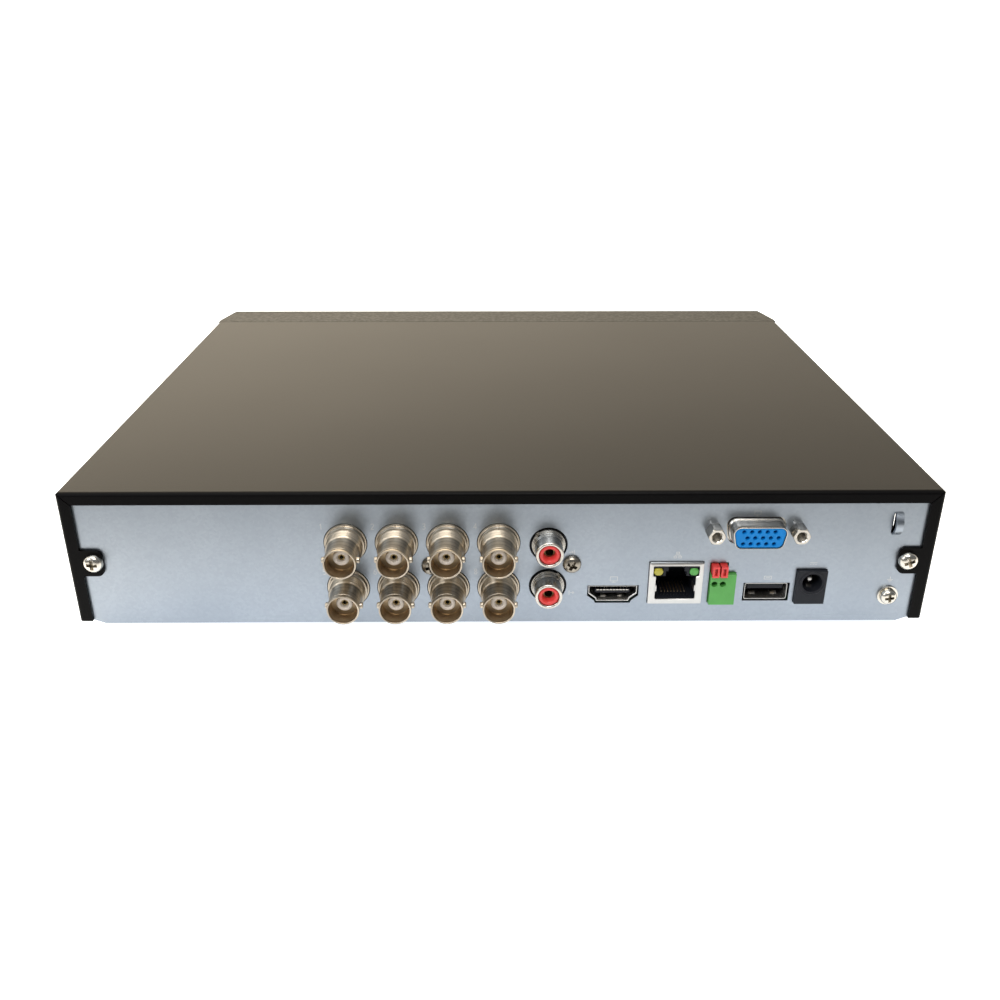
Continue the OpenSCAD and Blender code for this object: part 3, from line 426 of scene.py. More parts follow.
class Drawing:
    """A mesh drawn in millimetres."""

    def __init__(self):
        self.bm = bmesh.new()

    def row(self, points, way):
        return [self.bm.verts.new(way @ Vector(p)) for p in points]

    def skin(self, here, there):
        """Faces between two rows. A row of one point makes a fan."""
        count = max(len(here), len(there))
        for i in range(count if count > 1 else 0):
            corners = []
            for corner in (here[i % len(here)], here[(i + 1) % count % len(here)],
                           there[(i + 1) % count % len(there)], there[i % len(there)]):
                if corner not in corners:
                    corners.append(corner)
            self.bm.faces.new(corners)

    def tube(self, rows):
        """Walls through rows of equal count, closed at both ends."""
        for here, there in zip(rows, rows[1:]):
            self.skin(here, there)
        self.bm.faces.new(rows[0])
        self.bm.faces.new(rows[-1])
        return self

    def turned(self, profile, way=UP, steps=40):
        """A closed profile of (radius, depth), turned about z."""
        rows = [self.row([(x, y, z) for x, y in circle(r, steps=steps)] if r > 1e-6 else [(0, 0, z)], way)
                for r, z in profile]
        for i, here in enumerate(rows):
            self.skin(here, rows[(i + 1) % len(rows)])
        return self

    def loft(self, loops, way=UP):
        """Walls through outlines of equal count, each (outline, depth), capped at both ends."""
        return self.tube([self.row([(x, y, z) for x, y in outline], way) for outline, z in loops])

    def stepped(self, steps, at=(0, 0), way=UP):
        """A loft through rectangles, each (width, height, corner radius, depth)."""
        return self.loft([(rectangle(wide, high, r, at), z) for wide, high, r, z in steps], way)

    def prism(self, outline, low, high, way=UP):
        return self.loft([(outline, low), (outline, high)], way)

    def block(self, low, high, way=UP):
        corners = [(low[0], low[1]), (high[0], low[1]), (high[0], high[1]), (low[0], high[1])]
        return self.prism(corners, low[2], high[2], way)

    def stroke(self, points, width, low, high, loop=False):
        """A flat ribbon along a line in x and y, with mitred corners."""
        line = [Vector(p) for p in points]
        count = len(line)
        rows = []
        for i, p in enumerate(line):
            runs = [(p - line[i - 1]).normalized()] if loop or i else []
            if loop or i < count - 1:
                runs.append((line[(i + 1) % count] - p).normalized())
            normals = [Vector((-run.y, run.x)) for run in runs]
            middle = sum(normals, Vector((0, 0))).normalized()
            off = middle * (width / 2 / max(middle.dot(normals[0]), 0.4))
            one, other = p + off, p - off
            rows.append(self.row([(*one, low), (*one, high), (*other, high), (*other, low)], UP))
        if not loop:
            return self.tube(rows)
        for here, there in zip(rows, rows[1:] + rows[:1]):
            self.skin(here, there)
        return self

    def rod(self, route, r, sides=8):
        """A round wire through points in space."""
        path = [Vector(p) for p in route]
        rows = []
        for i, p in enumerate(path):
            along = (path[min(i + 1, len(path) - 1)] - path[max(i - 1, 0)]).normalized()
            across = along.cross(Vector((0.13, 0.97, 0.21))).normalized()
            up = across.cross(along)
            rows.append(self.row([p + across * x + up * y for x, y in circle(r, steps=sides)], UP))
        return self.tube(rows)

    def mesh(self, name):
        bmesh.ops.recalc_face_normals(self.bm, faces=self.bm.faces)
        made = bpy.data.meshes.new(name)
        self.bm.to_mesh(made)
        return made

    def cut(self, tool):
        """Takes a closed tool drawing away from this closed drawing."""
        work, away = (new_object("cut", drawing.mesh("cut")) for drawing in (self, tool))
        less = work.modifiers.new("less", "BOOLEAN")
        less.operation, less.solver, less.object = "DIFFERENCE", "EXACT", away
        bpy.context.view_layer.update()
        result = bpy.data.meshes.new_from_object(work.evaluated_get(bpy.context.evaluated_depsgraph_get()))
        self.bm.clear()
        self.bm.from_mesh(result)
        for thing in (work, away):
            bpy.data.objects.remove(thing)
        return self


def made(drawing, name, sharp=38):
    """The drawing as a mesh in metres, smooth apart from its sharp edges."""
    mesh = drawing.mesh(name)
    mesh.transform(Matrix.Scale(MM, 4))
    mesh.shade_smooth()
    mesh.set_sharp_from_angle(angle=math.radians(sharp))
    return mesh


def soften(thing, width):
    """Rounds the sharp edges of an object by this many millimetres."""
    edges = thing.modifiers.new("edges", "BEVEL")
    edges.width, edges.segments, edges.limit_method = width * MM, 2, "ANGLE"
    edges.angle_limit = math.radians(42)


def place(mesh, name, at, way, node, slot=None, stands_for=True, edge=0):
    """Puts a mesh in the frame. It rides on a CAD node's body and, unless told, takes that node's slot."""
    slot = slot or SLOT_OF[node]
    piece = new_object(name, mesh)
    piece.matrix_world = Matrix.Translation(at) @ way
    if not mesh.materials:
        mesh.materials.append(MATERIALS[slot].mat)
    if edge:
        soften(piece, edge)
    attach(piece, nodes[node]["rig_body"])
    if stands_for:
        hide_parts(node)
    return piece


def put(drawing, name, at, way, node, slot=None, stands_for=True, edge=0, sharp=38):
    """Makes a drawing's mesh, and places it as a piece of the same name."""
    return place(made(drawing, name, sharp), name, at, way, node, slot, stands_for, edge)


def on_panel(x, z):
    """A point on the rear panel's outer face, from frame x and z in metres."""
    return Vector((x, PANEL_Y, z))


def centre(node):
    low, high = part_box(node)
    return (low + high) / 2


def behind(node):
    """The point of the panel's outer face behind a node's middle."""
    middle = centre(node)
    return on_panel(middle.x, middle.z)


def reach_of(node):
    """How far a node stands out from the panel, in millimetres."""
    return (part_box(node)[1].y - PANEL_Y) / MM


SLOT_OF = {part["node"]: part["material_slot"] for part in frame["record"]["subparts"]}
# The washer's back lies 0.02 mm off the panel
PANEL_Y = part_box("earth_washer")[0].y - 0.02 * MM
BOARD_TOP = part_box("main_board")[1].z


# -------------------------------- video and audio sockets

VIDEO_REACH = reach_of("bnc_shells")
AUDIO_REACH = reach_of("rca_shells")
# Radii of the flanges against the panel
VIDEO_FLANGE = 6.35
AUDIO_FLANGE = 5.05
# How far the insulator's face lies inside the mouth
VIDEO_FACE = 3.9


def video_shell():
    """A die-cast bayonet socket: stepped flange, ribbed root, barrel with two lugs."""
    mouth = VIDEO_REACH
    profile = [(6.2, -1.4), (VIDEO_FLANGE, -1.25), (VIDEO_FLANGE, 0.12), (6.28, 0.29), (6.12, 0.35),
               (5.95, 0.35), (5.88, 0.42), (5.82, 1.4), (5.74, 1.6), (5.56, 1.68), (5.3, 1.7)]
    for i in range(4):
        z = 1.86 + i * 0.85
        profile += [(5.12, z), (5.12, z + 0.2), (5.4, z + 0.32), (5.46, z + 0.45), (5.4, z + 0.58)]
    profile += [(5.1, 5.35), (4.9, 5.5), (4.8, 5.8), (4.8, mouth - 1.5), (4.72, mouth - 1.4),
                (4.72, mouth - 1.15), (4.8, mouth - 1.05), (4.8, mouth - 0.26), (4.74, mouth - 0.08),
                (4.6, mouth), (4.46, mouth), (4.33, mouth - 0.07), (4.24, mouth - 0.26),
                (4.2, mouth - 0.55), (4.2, mouth - 4.75), (4.1, mouth - 4.95), (2.42, mouth - 4.95),
                (2.42, -1.4)]
    d = Drawing().turned(profile, steps=56)
    for side in (-1, 1):
        lug = Matrix.Translation((side * 4.5, 0, mouth - 3.1)) @ Matrix.Rotation(side * math.pi / 2, 4, "Y")
        d.turned([(0, 0), (0.95, 0), (0.95, 0.72), (0.88, 0.92), (0.66, 1.06), (0, 1.1)], lug, 20)
    # Parting line left by the mould
    d.block((-0.1, 5.5, 0.38), (0.1, 5.94, 1.5))
    d.block((-0.1, 5.9, 0.2), (0.1, 6.3, 0.39))
    return made(d, "video_shell")


def video_insulator():
    face = VIDEO_REACH - VIDEO_FACE
    profile = [(1.05, -3.4), (2.4, -3.4), (2.4, face - 0.4), (2.3, face - 0.14), (2.05, face), (1.5, face),
               (1.36, face - 0.08), (1.2, face - 0.5), (1.05, face - 0.7)]
    return made(Drawing().turned(profile), "video_insulator")


def video_contact():
    """A sprung tube, slit four ways where the plug's pin goes in."""
    tip = VIDEO_REACH - VIDEO_FACE - 0.9
    d = Drawing()
    for i in range(4):
        start, end = math.radians(90 * i + 8), math.radians(90 * i + 82)
        d.prism(arc((0, 0), 1.0, start, end) + arc((0, 0), 0.62, end, start), tip - 4, tip)
    d.turned([(0, -7.3), (0.8, -7.3), (1.0, -7.0), (1.0, tip - 4), (0, tip - 4)], steps=24)
    return made(d, "video_contact")


def video_places():
    """The eight video inputs, from the top left as seen from behind."""
    low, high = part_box("bnc_shells")
    inset = VIDEO_FLANGE * MM
    pitch = (high.x - low.x - 2 * inset) / 3
    return [(high.x - inset - i * pitch, z) for z in (high.z - inset, low.z + inset) for i in range(4)]


def video_sockets():
    parts = (("shell", video_shell(), "bnc_shells"), ("insulator", video_insulator(), "bnc_insulators"),
             ("contact", video_contact(), "bnc_contacts"))
    for number, (x, z) in enumerate(video_places(), 1):
        for part, mesh, node in parts:
            place(mesh, f"video_{part}_{number}", on_panel(x, z), REAR, node)


def audio_shell(notch):
    """A phono socket's plated shell, with a locating notch at this angle."""
    mouth = AUDIO_REACH
    profile = [(3.15, -1.4), (AUDIO_FLANGE, -1.4), (AUDIO_FLANGE, 0.3), (4.98, 0.42), (4.82, 0.46),
               (4.75, 0.8), (4.68, 0.96), (4.56, 1.0), (4.5, 1.62), (4.42, 1.78), (4.28, 1.84), (4.2, 2.0),
               (4.15, 2.5), (4.15, mouth - 0.4), (4.07, mouth - 0.14), (3.88, mouth), (3.46, mouth),
               (3.26, mouth - 0.12), (3.15, mouth - 0.4)]
    slot = Drawing().block((4.5, -0.62, -0.4), (7, 0.62, 3), Matrix.Rotation(math.radians(notch), 4, "Z"))
    return made(Drawing().turned(profile, steps=56).cut(slot), "audio_shell")


def audio_insulator():
    mouth = AUDIO_REACH
    profile = [(1.65, -1.4), (3.1, -1.4), (3.1, mouth - 0.75), (3.02, mouth - 0.48), (2.82, mouth - 0.3),
               (2.5, mouth - 0.25), (2.2, mouth - 0.32), (1.95, mouth - 0.6), (1.72, mouth - 1.2),
               (1.65, mouth - 1.8)]
    return made(Drawing().turned(profile, steps=44), "audio_insulator")


def audio_contact():
    profile = [(0, -1.4), (1.62, -1.4), (1.62, 4.4), (1.5, 4.7), (1.25, 4.7), (1.25, 0.4), (0, 0.4)]
    return made(Drawing().turned(profile, steps=28), "audio_contact")


def audio_places():
    """How far across the audio sockets are, and for each its (name, height, angle of its notch)."""
    low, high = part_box("rca_shells")
    inset = AUDIO_FLANGE * MM
    return (low.x + high.x) / 2, (("in", high.z - inset, 132), ("out", low.z + inset, 48))


def audio_sockets():
    x, rows = audio_places()
    red, brass = audio_insulator(), audio_contact()
    for name, z, notch in rows:
        at = on_panel(x, z)
        place(audio_shell(notch), f"audio_{name}_shell", at, REAR, "rca_shells")
        place(red, f"audio_{name}_insulator", at, REAR, "rca_insulators")
        place(brass, f"audio_{name}_contact", at, REAR, "rca_insulators", "contact_brass", False)


# -------------------------------- screws and feet

def cross(reach, half):
    """A cross outline: its arms' reach, and half their width."""
    quarter = [(reach, -half), (reach, half), (half, half)]
    turns = [(1, 0, 0, 1), (0, -1, 1, 0), (-1, 0, 0, -1), (0, 1, -1, 0)]
    return [(a * x + b * y, c * x + d * y) for a, b, c, d in turns for x, y in quarter]


def pan_screw(name, r, high, shank, length):
    """A pan-head machine screw, its seat at z = 0, with a tapered cross recess and a thread."""
    profile = [(0, -length), (shank * 0.7, -length)]
    half_pitch = 0.25
    turns = int((length - 0.4) / half_pitch)
    profile += [(shank * (1 if k % 2 else 0.86), 0.2 + half_pitch * k - length) for k in range(turns)]
    profile += [(shank, -0.12), (shank, 0), (r * 0.97, 0), (r, 0.08), (r, high * 0.34)]
    dome = [(0.97, 0.5), (0.88, 0.71), (0.72, 0.87), (0.5, 0.96), (0.25, 1), (0, 1)]
    profile += [(r * out, high * up) for out, up in dome]
    floor, top = cross(r * 0.3, r * 0.12), cross(r * 0.62, r * 0.19)
    recess = Drawing().loft([(floor, high * 0.15), (top, high * 1.1)])
    return made(Drawing().turned(profile).cut(recess), name, 32)


# Every set of screws: head radius and height, shank radius, and length under the head
SCREW_SIZES = {
    "cover_screws": (2.85, 2.1, 1.45, 6), "panel_screws": (2.8, 1.8, 1.4, 5),
    "earth_screw": (2.5, 2.0, 1.45, 7), "main_board_screws": (2.85, 2.1, 1.45, 4.6),
    "front_board_screws": (2.5, 1.8, 1.35, 5), "drive_screws": (3.2, 1.7, 1.7, 7),
}
# The middle row of the board's posts, and the post at the inner end of its wing
POST_ROW_Y = 0.024
WING_POST_X = 0.049


def screw_seats(node, r, high):
    """The seats of a set's heads, and the way they face, from the box round the set."""
    low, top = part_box(node)
    middle = (low + top) / 2
    left, right, near, far = low.x + r, top.x - r, low.y + r, top.y - r
    if node == "panel_screws":
        return [(right, PANEL_Y, low.z + r), (left, PANEL_Y, top.z - r)], REAR
    if node == "earth_screw":
        return [(middle.x, top.y - high, middle.z)], REAR
    if node == "cover_screws":
        return [(x, top.y - high, middle.z) for x in (left, right)], REAR
    if node == "front_board_screws":
        return [(x, middle.y, top.z - high) for x in (left, right)], UP
    if node == "drive_screws":
        return [(x, y, low.z + high) for x in (left, right) for y in (near, far)], DOWN
    posts = [(x, y) for x in (left, right) for y in (POST_ROW_Y, far)] + [(right, near), (WING_POST_X, near)]
    return [(x, y, BOARD_TOP) for x, y in posts], UP


def screws():
    for node, sizes in SCREW_SIZES.items():
        mesh = pan_screw(node, *sizes)
        seats, way = screw_seats(node, sizes[0] * MM, sizes[1] * MM)
        for number, seat in enumerate(seats, 1):
            turn = Matrix.Rotation(DICE.uniform(0, math.pi / 2), 4, "Z")
            place(mesh, f"{node}_{number}", Vector(seat), way @ turn, node)


def feet():
    low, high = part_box("rubber_feet")
    inset, tall = 7.5 * MM, (high.z - low.z) / MM
    profile = [(2.02, 1.05), (3.0, 1.0), (3.0, 0.25), (3.25, 0.03), (5.6, 0), (6.3, 0.08), (6.9, 0.45),
               (7.15, 1.2), (7.5, tall - 0.15), (7.4, tall), (2.02, tall)]
    rubber = made(Drawing().turned(profile, steps=48), "foot")
    profile = [(0, 0.36), (2.3, 0.36), (2.75, 0.55), (2.8, 1.0), (1.95, 1.0), (1.95, 3.8), (2.85, 3.8),
               (2.85, 4.0), (2.2, 4.95), (0, 5.0)]
    rivet = made(Drawing().turned(profile, steps=32), "foot_rivet")
    spots = [(x, y) for x in (low.x + inset, high.x - inset) for y in (low.y + inset, high.y - inset)]
    for number, (x, y) in enumerate(spots, 1):
        place(rubber, f"rubber_foot_{number}", Vector((x, y, 0)), UP, "rubber_feet")
        place(rivet, f"foot_rivet_{number}", Vector((x, y, 0)), UP, "foot_rivets")


# -------------------------------- digital ports

def leaf(d, x, wide, side_view, mirrored=False):
    """A sprung strip of this width across the face, drawn from the side as (out, up)."""
    view = [(out, -up) for out, up in side_view] if mirrored else side_view
    d.prism(view, x - wide / 2, x + wide / 2, ACROSS)


def video_port_outline(grow):
    side, low, high = 7.5 + grow, -2.75 - grow, 2.75 + grow
    lean = grow * 0.4
    right = [(side - 2.5, low), (side - 2.1, low + 0.9 - lean), (side, low + 2.6), (side, high)]
    return right + [(-x, y) for x, y in reversed(right)]


def video_port():
    at = behind("video_port_shell")
    mouth = reach_of("video_port_shell")
    turns = [(0, -12), (0, mouth - 0.13), (-0.1, mouth), (-0.26, mouth), (-0.36, mouth - 0.15),
             (-0.36, -11.6)]
    d = Drawing().loft([(video_port_outline(grow), z) for grow, z in turns])
    finger = [(-7.5, -2.5), (-3, -2.5), (-2.5, -2.3), (-3.2, -1.8), (-4, -1.72), (-5.2, -2.1), (-7.5, -2.36)]
    for x in (-2.6, 2.6):
        leaf(d, x, 1.5, finger)
        leaf(d, x, 1.5, finger, mirrored=True)
    put(d, "video_port_shell", at, REAR, "video_port_shell", edge=0.06)
    steps = [(10.8, 1.2, 0.2, -8), (10.8, 1.2, 0.2, -1.4), (10.4, 0.8, 0.2, -1.2)]
    tongue = Drawing().stepped(steps, (0, 0.35))
    tongue.stepped([(13.6, 4.4, 0.3, -11.5), (13.6, 4.4, 0.3, -8)])
    put(tongue, "video_port_tongue", at, REAR, "video_port_tongue", "black_plastic")
    strips = Drawing()
    for i in range(10):
        strips.block((-4.72 + i, 0.94, -8), (-4.28 + i, 1.0, -1.3))
        strips.block((-4.9 + i, 0.72, -1.35), (-4.1 + i, 1.0, -1.16))
        if i < 9:
            strips.block((-4.22 + i, -0.3, -8), (-3.78 + i, -0.24, -1.7))
    put(strips, "video_port_contacts", at, REAR, "video_port_tongue", "sleeve_nickel", False)


# Middles of the lamps above the network port's mouth, and the pitch of its contacts
LAMP_X = 5.4
LAMP_Y = 11.1
CONTACT_PITCH = 1.02


def network_port():
    low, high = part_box("network_shield")
    at = on_panel((low.x + high.x) / 2, BOARD_TOP)
    wide, tall = (high.x - low.x) / MM, (high.z - BOARD_TOP) / MM
    network_shield(at, wide, tall)
    network_housing(at, wide, tall)
    for side, name, slot in ((-1, "left", "lamp_plastic"), (1, "right", "green_plastic")):
        lamp = Drawing().stepped([(2.76, 2.46, 1.1, -8), (2.76, 2.46, 1.1, 0.5), (2.6, 2.3, 1.05, 0.72),
                                  (2.1, 1.8, 0.8, 0.86), (1.2, 0.95, 0.4, 0.9)])
        spot = at + Vector((-side * LAMP_X, 0, LAMP_Y)) * MM
        put(lamp, f"network_lamp_{name}", spot, REAR, "network_lamps", slot, sharp=60)


def window_outline(grow):
    """The opening in the shield's face, wider at the top for the lamps."""
    right = [(5.8, 1.75 - grow), (6.1 + grow, 2.05), (6.1 + grow, 9.5 - grow), (6.95 + grow, 9.7 - grow),
             (6.95 + grow, 12.9), (6.85 + grow, 13.05), (6.7, 13.1 + grow), (6.4, 13.1 + grow)]
    return right + [(-x, y) for x, y in reversed(right)]


def network_shield(at, wide, tall):
    middle = (0, (tall + 0.05) / 2)
    outer, inner = (wide, tall - 0.05), (wide - 0.6, tall - 0.65)
    d = Drawing().loft([(rectangle(*outer, 0.4, middle), -20), (rectangle(*outer, 0.4, middle), 0.5),
                        (rectangle(outer[0] - 0.12, outer[1] - 0.12, 0.36, middle), 0.72),
                        (rectangle(outer[0] - 0.4, outer[1] - 0.4, 0.3, middle), 0.8),
                        (window_outline(0.1), 0.8), (window_outline(0), 0.7), (window_outline(0), 0.5),
                        (rectangle(*inner, 0.3, middle), 0.5), (rectangle(*inner, 0.3, middle), -19.7)])
    # Sprung tabs pressed in at the two sides of the window
    for side in (-1, 1):
        outline = [(side * 6.12, 4.2), (side * 6.12, 6.6), (side * 5.65, 6.3), (side * 5.65, 4.5)]
        d.loft([(outline, -3), (outline, 0.35), ([(x * 1.02, y) for x, y in outline], 0.62)])
    put(d, "network_shield", at, REAR, "network_shield")


def network_housing(at, wide, tall):
    half, high = wide / 2 - 0.35, tall - 0.35
    d = Drawing().block((-half, 0.4, -19.6), (half, high, 0.46))
    steps = [(5.95, 2), (5.95, 9.6), (3.1, 9.6), (3.1, 11.2), (2.4, 11.2), (2.4, 12.6)]
    outline = steps + [(-x, y) for x, y in reversed(steps)]
    flared = [(x * 1.03, y * 1.03 - 0.2) for x, y in outline]
    tool = Drawing().loft([(outline, -13), (outline, 0.1), (flared, 0.6)])
    for x in (-LAMP_X, LAMP_X):
        tool.block((x - 1.42, LAMP_Y - 1.27, -8.1), (x + 1.42, LAMP_Y + 1.27, 1))
    d.cut(tool)
    # Combs that keep the eight contacts apart
    for i in range(9):
        x = -4.2 + i * CONTACT_PITCH
        d.block((x, 2.0, -9), (x + 0.24, 2.55, -0.6))
    put(d, "network_housing", at, REAR, "network_housing", edge=0.08)
    wires = Drawing()
    for i in range(8):
        x = -3.57 + i * CONTACT_PITCH
        wires.rod([(x, 2.15, -9), (x, 2.2, -3.1), (x, 2.4, -2.8), (x, 2.55, -3.1), (x, 2.65, -8.6)], 0.24)
    put(wires, "network_contacts", at, REAR, "network_housing", "socket_nickel", False)


def usb_socket(name, mouth, way):
    """A host port: folded shell with sprung fingers, a tongue and its four contacts."""
    shell_node, tongue_node = name + "_shell", name + "_tongue"
    low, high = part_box(shell_node)
    back = (low.y - high.y) / MM
    at = Vector(((low.x + high.x) / 2, mouth, (low.z + high.z) / 2))
    d = Drawing().stepped([(13.2, 5.7, 0.6, back), (13.2, 5.7, 0.6, -0.17), (13.02, 5.52, 0.55, 0),
                           (12.74, 5.24, 0.45, 0), (12.5, 5.0, 0.35, -0.2), (12.5, 5.0, 0.35, back + 0.3)])
    finger = [(-9, -2.52), (-2.9, -2.52), (-2.5, -2.35), (-3.3, -1.75), (-4.2, -1.68), (-5.6, -2.1),
              (-9, -2.38)]
    for x in (-3.3, 3.3):
        leaf(d, x, 1.9, finger)
        leaf(d, x, 1.9, [(out, 0.5 * up - 1.24) for out, up in finger], mirrored=True)
    # The sheet's folded seam along the underside
    d.block((-0.06, -2.5, back + 0.5), (0.06, -2.44, -0.45))
    put(d, shell_node + "_formed", at, way, shell_node)
    tongue = Drawing().stepped([(11.2, 1.85, 0.2, -9.1), (11.2, 1.85, 0.2, -1.4), (10.8, 1.45, 0.2, -1.1)],
                               (0, 1.17))
    tongue.stepped([(12, 4.6, 0.4, back + 0.4), (12, 4.6, 0.4, -9.1)])
    put(tongue, tongue_node + "_moulded", at, way, tongue_node)
    strips = Drawing()
    for x in (-3.5, -1, 1, 3.5):
        strips.block((x - 0.5, 0.17, -9.1), (x + 0.5, 0.26, -1.9))
    put(strips, name + "_contacts", at, way, tongue_node, "contact_brass", False)


def host_ports():
    usb_socket("usb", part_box("usb_shell")[1].y, REAR)
    usb_socket("front_usb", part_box("front_usb_shell")[0].y, FRONT)


# -------------------------------- power inlet and analogue port

def power_inlet():
    low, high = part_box("power_jack_body")
    pin = centre("power_jack_pin")
    at = behind("power_jack_pin")
    wide, tall = (high.x - low.x) / MM, (high.z - low.z) / MM
    middle = (pin - (low + high) / 2) / MM
    face = reach_of("power_jack_body")
    d = Drawing().stepped([(wide, tall, 0.25, -13.5), (wide, tall, 0.25, face - 0.15),
                           (wide - 0.3, tall - 0.3, 0.25, face)], (middle.x, -middle.z))
    bore = [(0, -10), (2.9, -10), (2.9, face - 0.4), (3.25, face + 0.3), (0, face + 0.3)]
    d.cut(Drawing().turned(bore, steps=44))
    # A raised ring round the bore
    ring = [(3.5, -0.1), (3.5, 0.1), (3.6, 0.18), (3.9, 0.18), (4.0, 0.1), (4.0, -0.1)]
    d.turned([(r, face + up) for r, up in ring], steps=44)
    put(d, "power_inlet_body", at, REAR, "power_jack_body")
    pin_profile = [(0, -10), (1.05, -10), (1.05, -1.9), (1.0, -1.6), (0.8, -1.3), (0.5, -1.14), (0, -1.1)]
    put(Drawing().turned(pin_profile, steps=28), "power_inlet_pin", at, REAR, "power_jack_pin")
    spring = Drawing()
    side_view = [(-9.5, 2.7), (-4, 2.15), (-2.6, 2.1), (-1.4, 2.6), (-1.4, 2.75), (-2.6, 2.28), (-9.5, 2.85)]
    leaf(spring, 0, 1.6, side_view, mirrored=True)
    put(spring, "power_inlet_spring", at, REAR, "power_jack_pin", stands_for=False)


# Half the distance between the jack screws
JACK_HALF = 12.495


def analogue_port():
    at = behind("vga_shell")
    reach = reach_of("vga_shell")
    d = Drawing()
    # The shell's outline by height, corner radius and depth: flared root, wall, rolled lip and bore
    turns = [(8.3, 2.6, -0.85), (8.3, 2.6, 0.2), (8.05, 2.5, 0.5), (7.55, 2.35, 0.66), (7.26, 2.2, 0.9),
             (7.2, 2.2, 1.3), (7.2, 2.2, reach - 0.25), (7.06, 2.1, reach - 0.05), (6.9, 2.05, reach),
             (6.6, 1.9, reach - 0.05), (6.42, 1.8, reach - 0.3), (6.4, 1.8, -0.85)]
    d.loft([(d_outline(tall + 8.7, tall + 7.6, tall, r), z) for tall, r, z in turns])
    plate = Drawing().prism(rectangle(30.8, 12.4, 1.2), -1.2, -0.86)
    holes = Drawing()
    for x in (-JACK_HALF, JACK_HALF):
        holes.turned([(0, -3), (1.55, -3), (1.55, 1), (0, 1)], Matrix.Translation((x, 0, 0)), 24)
    put(d, "analogue_port_shell", at, REAR, "vga_shell")
    put(plate.cut(holes), "analogue_port_plate", at, REAR, "vga_shell")
    face = d_outline(15, 13.9, 6.3, 1.75)
    rim = d_outline(14.6, 13.5, 5.9, 1.6)
    insert = Drawing().loft([(face, -3), (face, reach - 0.4), (rim, reach - 0.15)])
    holes = Drawing()
    for row in (-1, 0, 1):
        for i in range(-2, 3):
            spot = Matrix.Translation((i * 2.29 + (1.14 if row == 0 else 0) - 0.3, row * 1.98, 0))
            holes.turned([(0, 1), (0.58, 1), (0.58, reach - 0.4), (0.8, reach), (0, reach)], spot, 16)
    put(insert.cut(holes), "analogue_port_insert", at, REAR, "vga_insert")
    jack = jack_screw()
    for number, side in enumerate((-1, 1), 1):
        place(jack, f"jack_screw_{number}", at + Vector((-side * JACK_HALF * MM, 0, 0)), REAR, "jack_screws")


def jack_screw():
    """A hexagonal standoff with a coned, threaded bore."""
    top = reach_of("jack_screws")
    outside = [(circle(1.5), -7), (circle(1.5), 0), (hexagon(2.38, 2.6), 0), (hexagon(2.38, 2.74), 0.2),
               (hexagon(2.38, 2.74), top - 0.35), (hexagon(2.3, 2.42), top)]
    thread = [(circle(1.46 if k % 2 else 1.32), top - 0.8 - k * 0.22) for k in range(15)]
    bore = [(circle(1.75), top), (circle(1.5), top - 0.25)] + thread + [(circle(1.3), 0.5)]
    return made(Drawing().loft(outside + bore), "jack_screw", 25)


# -------------------------------- inside the case

def board_parts():
    """Small soldered parts in rows on the main board, each a body between two bright ends."""
    bodies, ends = Drawing(), Drawing()
    # Free fields of the board, from x to x and from y to y
    fields = ((-98, -64, 40, 58), (-98, -64, 26, 36), (-28, 2, 27, 34), (12, 50, 28, 56),
              (50, 98, 82, 92), (48, 100, -18, 2), (66, 100, -54, -24))
    for x0, x1, y0, y1 in fields:
        for x in range(x0, x1, 4):
            for y in range(y0, y1, 4):
                if DICE.random() < 0.45:
                    continue
                wide, deep, high = DICE.choice(((1.6, 0.8, 0.5), (2.0, 1.2, 0.6), (3.0, 1.6, 1.1)))
                bodies.block((x, y, 0), (x + wide, y + deep, high))
                for end in (x - 0.3, x + wide):
                    ends.block((end, y - 0.05, 0), (end + 0.3, y + deep + 0.05, high + 0.05))
    at = Vector((0, 0, BOARD_TOP))
    put(bodies, "board_small_parts", at, UP, "board_chips", stands_for=False)
    put(ends, "board_small_ends", at, UP, "main_board", "bright_steel", False)


# Distance between neighbouring video inputs, and so between the chips behind them
VIDEO_PITCH = 15.24


def chip_legs():
    """Formed legs along both long sides of every chip on the board."""
    d = Drawing()
    (x0, y0, _), (x1, y1, _) = (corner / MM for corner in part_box("board_chips"))
    memory = [(x0 + i * 14, y0 + j * 18, 9, 14) for i in (0, 1) for j in (0, 1)]
    decoders = [(x1 - 9 - i * VIDEO_PITCH, y1 - 9, 9, 9) for i in range(4)]
    side = [(0, 0.55), (0.35, 0.55), (0.65, 0.12), (1.1, 0.12), (1.1, 0), (0.6, 0), (0.3, 0.43), (0, 0.43)]
    for x, y, wide, deep in memory + decoders:
        for k in range(int(deep / 0.8) - 1):
            along = y + 0.9 + k * 0.8
            for edge, way in ((x + wide, 1), (x, -1)):
                view = Matrix(((way, 0, 0, edge), (0, 0, 1, along), (0, 1, 0, 0), (0, 0, 0, 1)))
                d.prism(side, 0, 0.3, view)
    put(d, "chip_legs", Vector((0, 0, BOARD_TOP)), UP, "board_chips", "bright_steel", False)


def lead_route(y):
    """The middle of one conductor, in millimetres from the drive's socket corner."""
    points = [(8, 3.8), (10, 3.8)]
    points += [(x, z) for x, z in arc((12, 6.6), 2.8, -math.pi / 2, 0, 6)]
    points += arc((19.6, 28.4), 4.8, math.pi, math.pi / 2, 6)
    points += arc((31.7, 28.4), 4.8, math.pi / 2, 0, 6)
    points.append((36.5, 22))
    return [(x, y, z) for x, z in points]


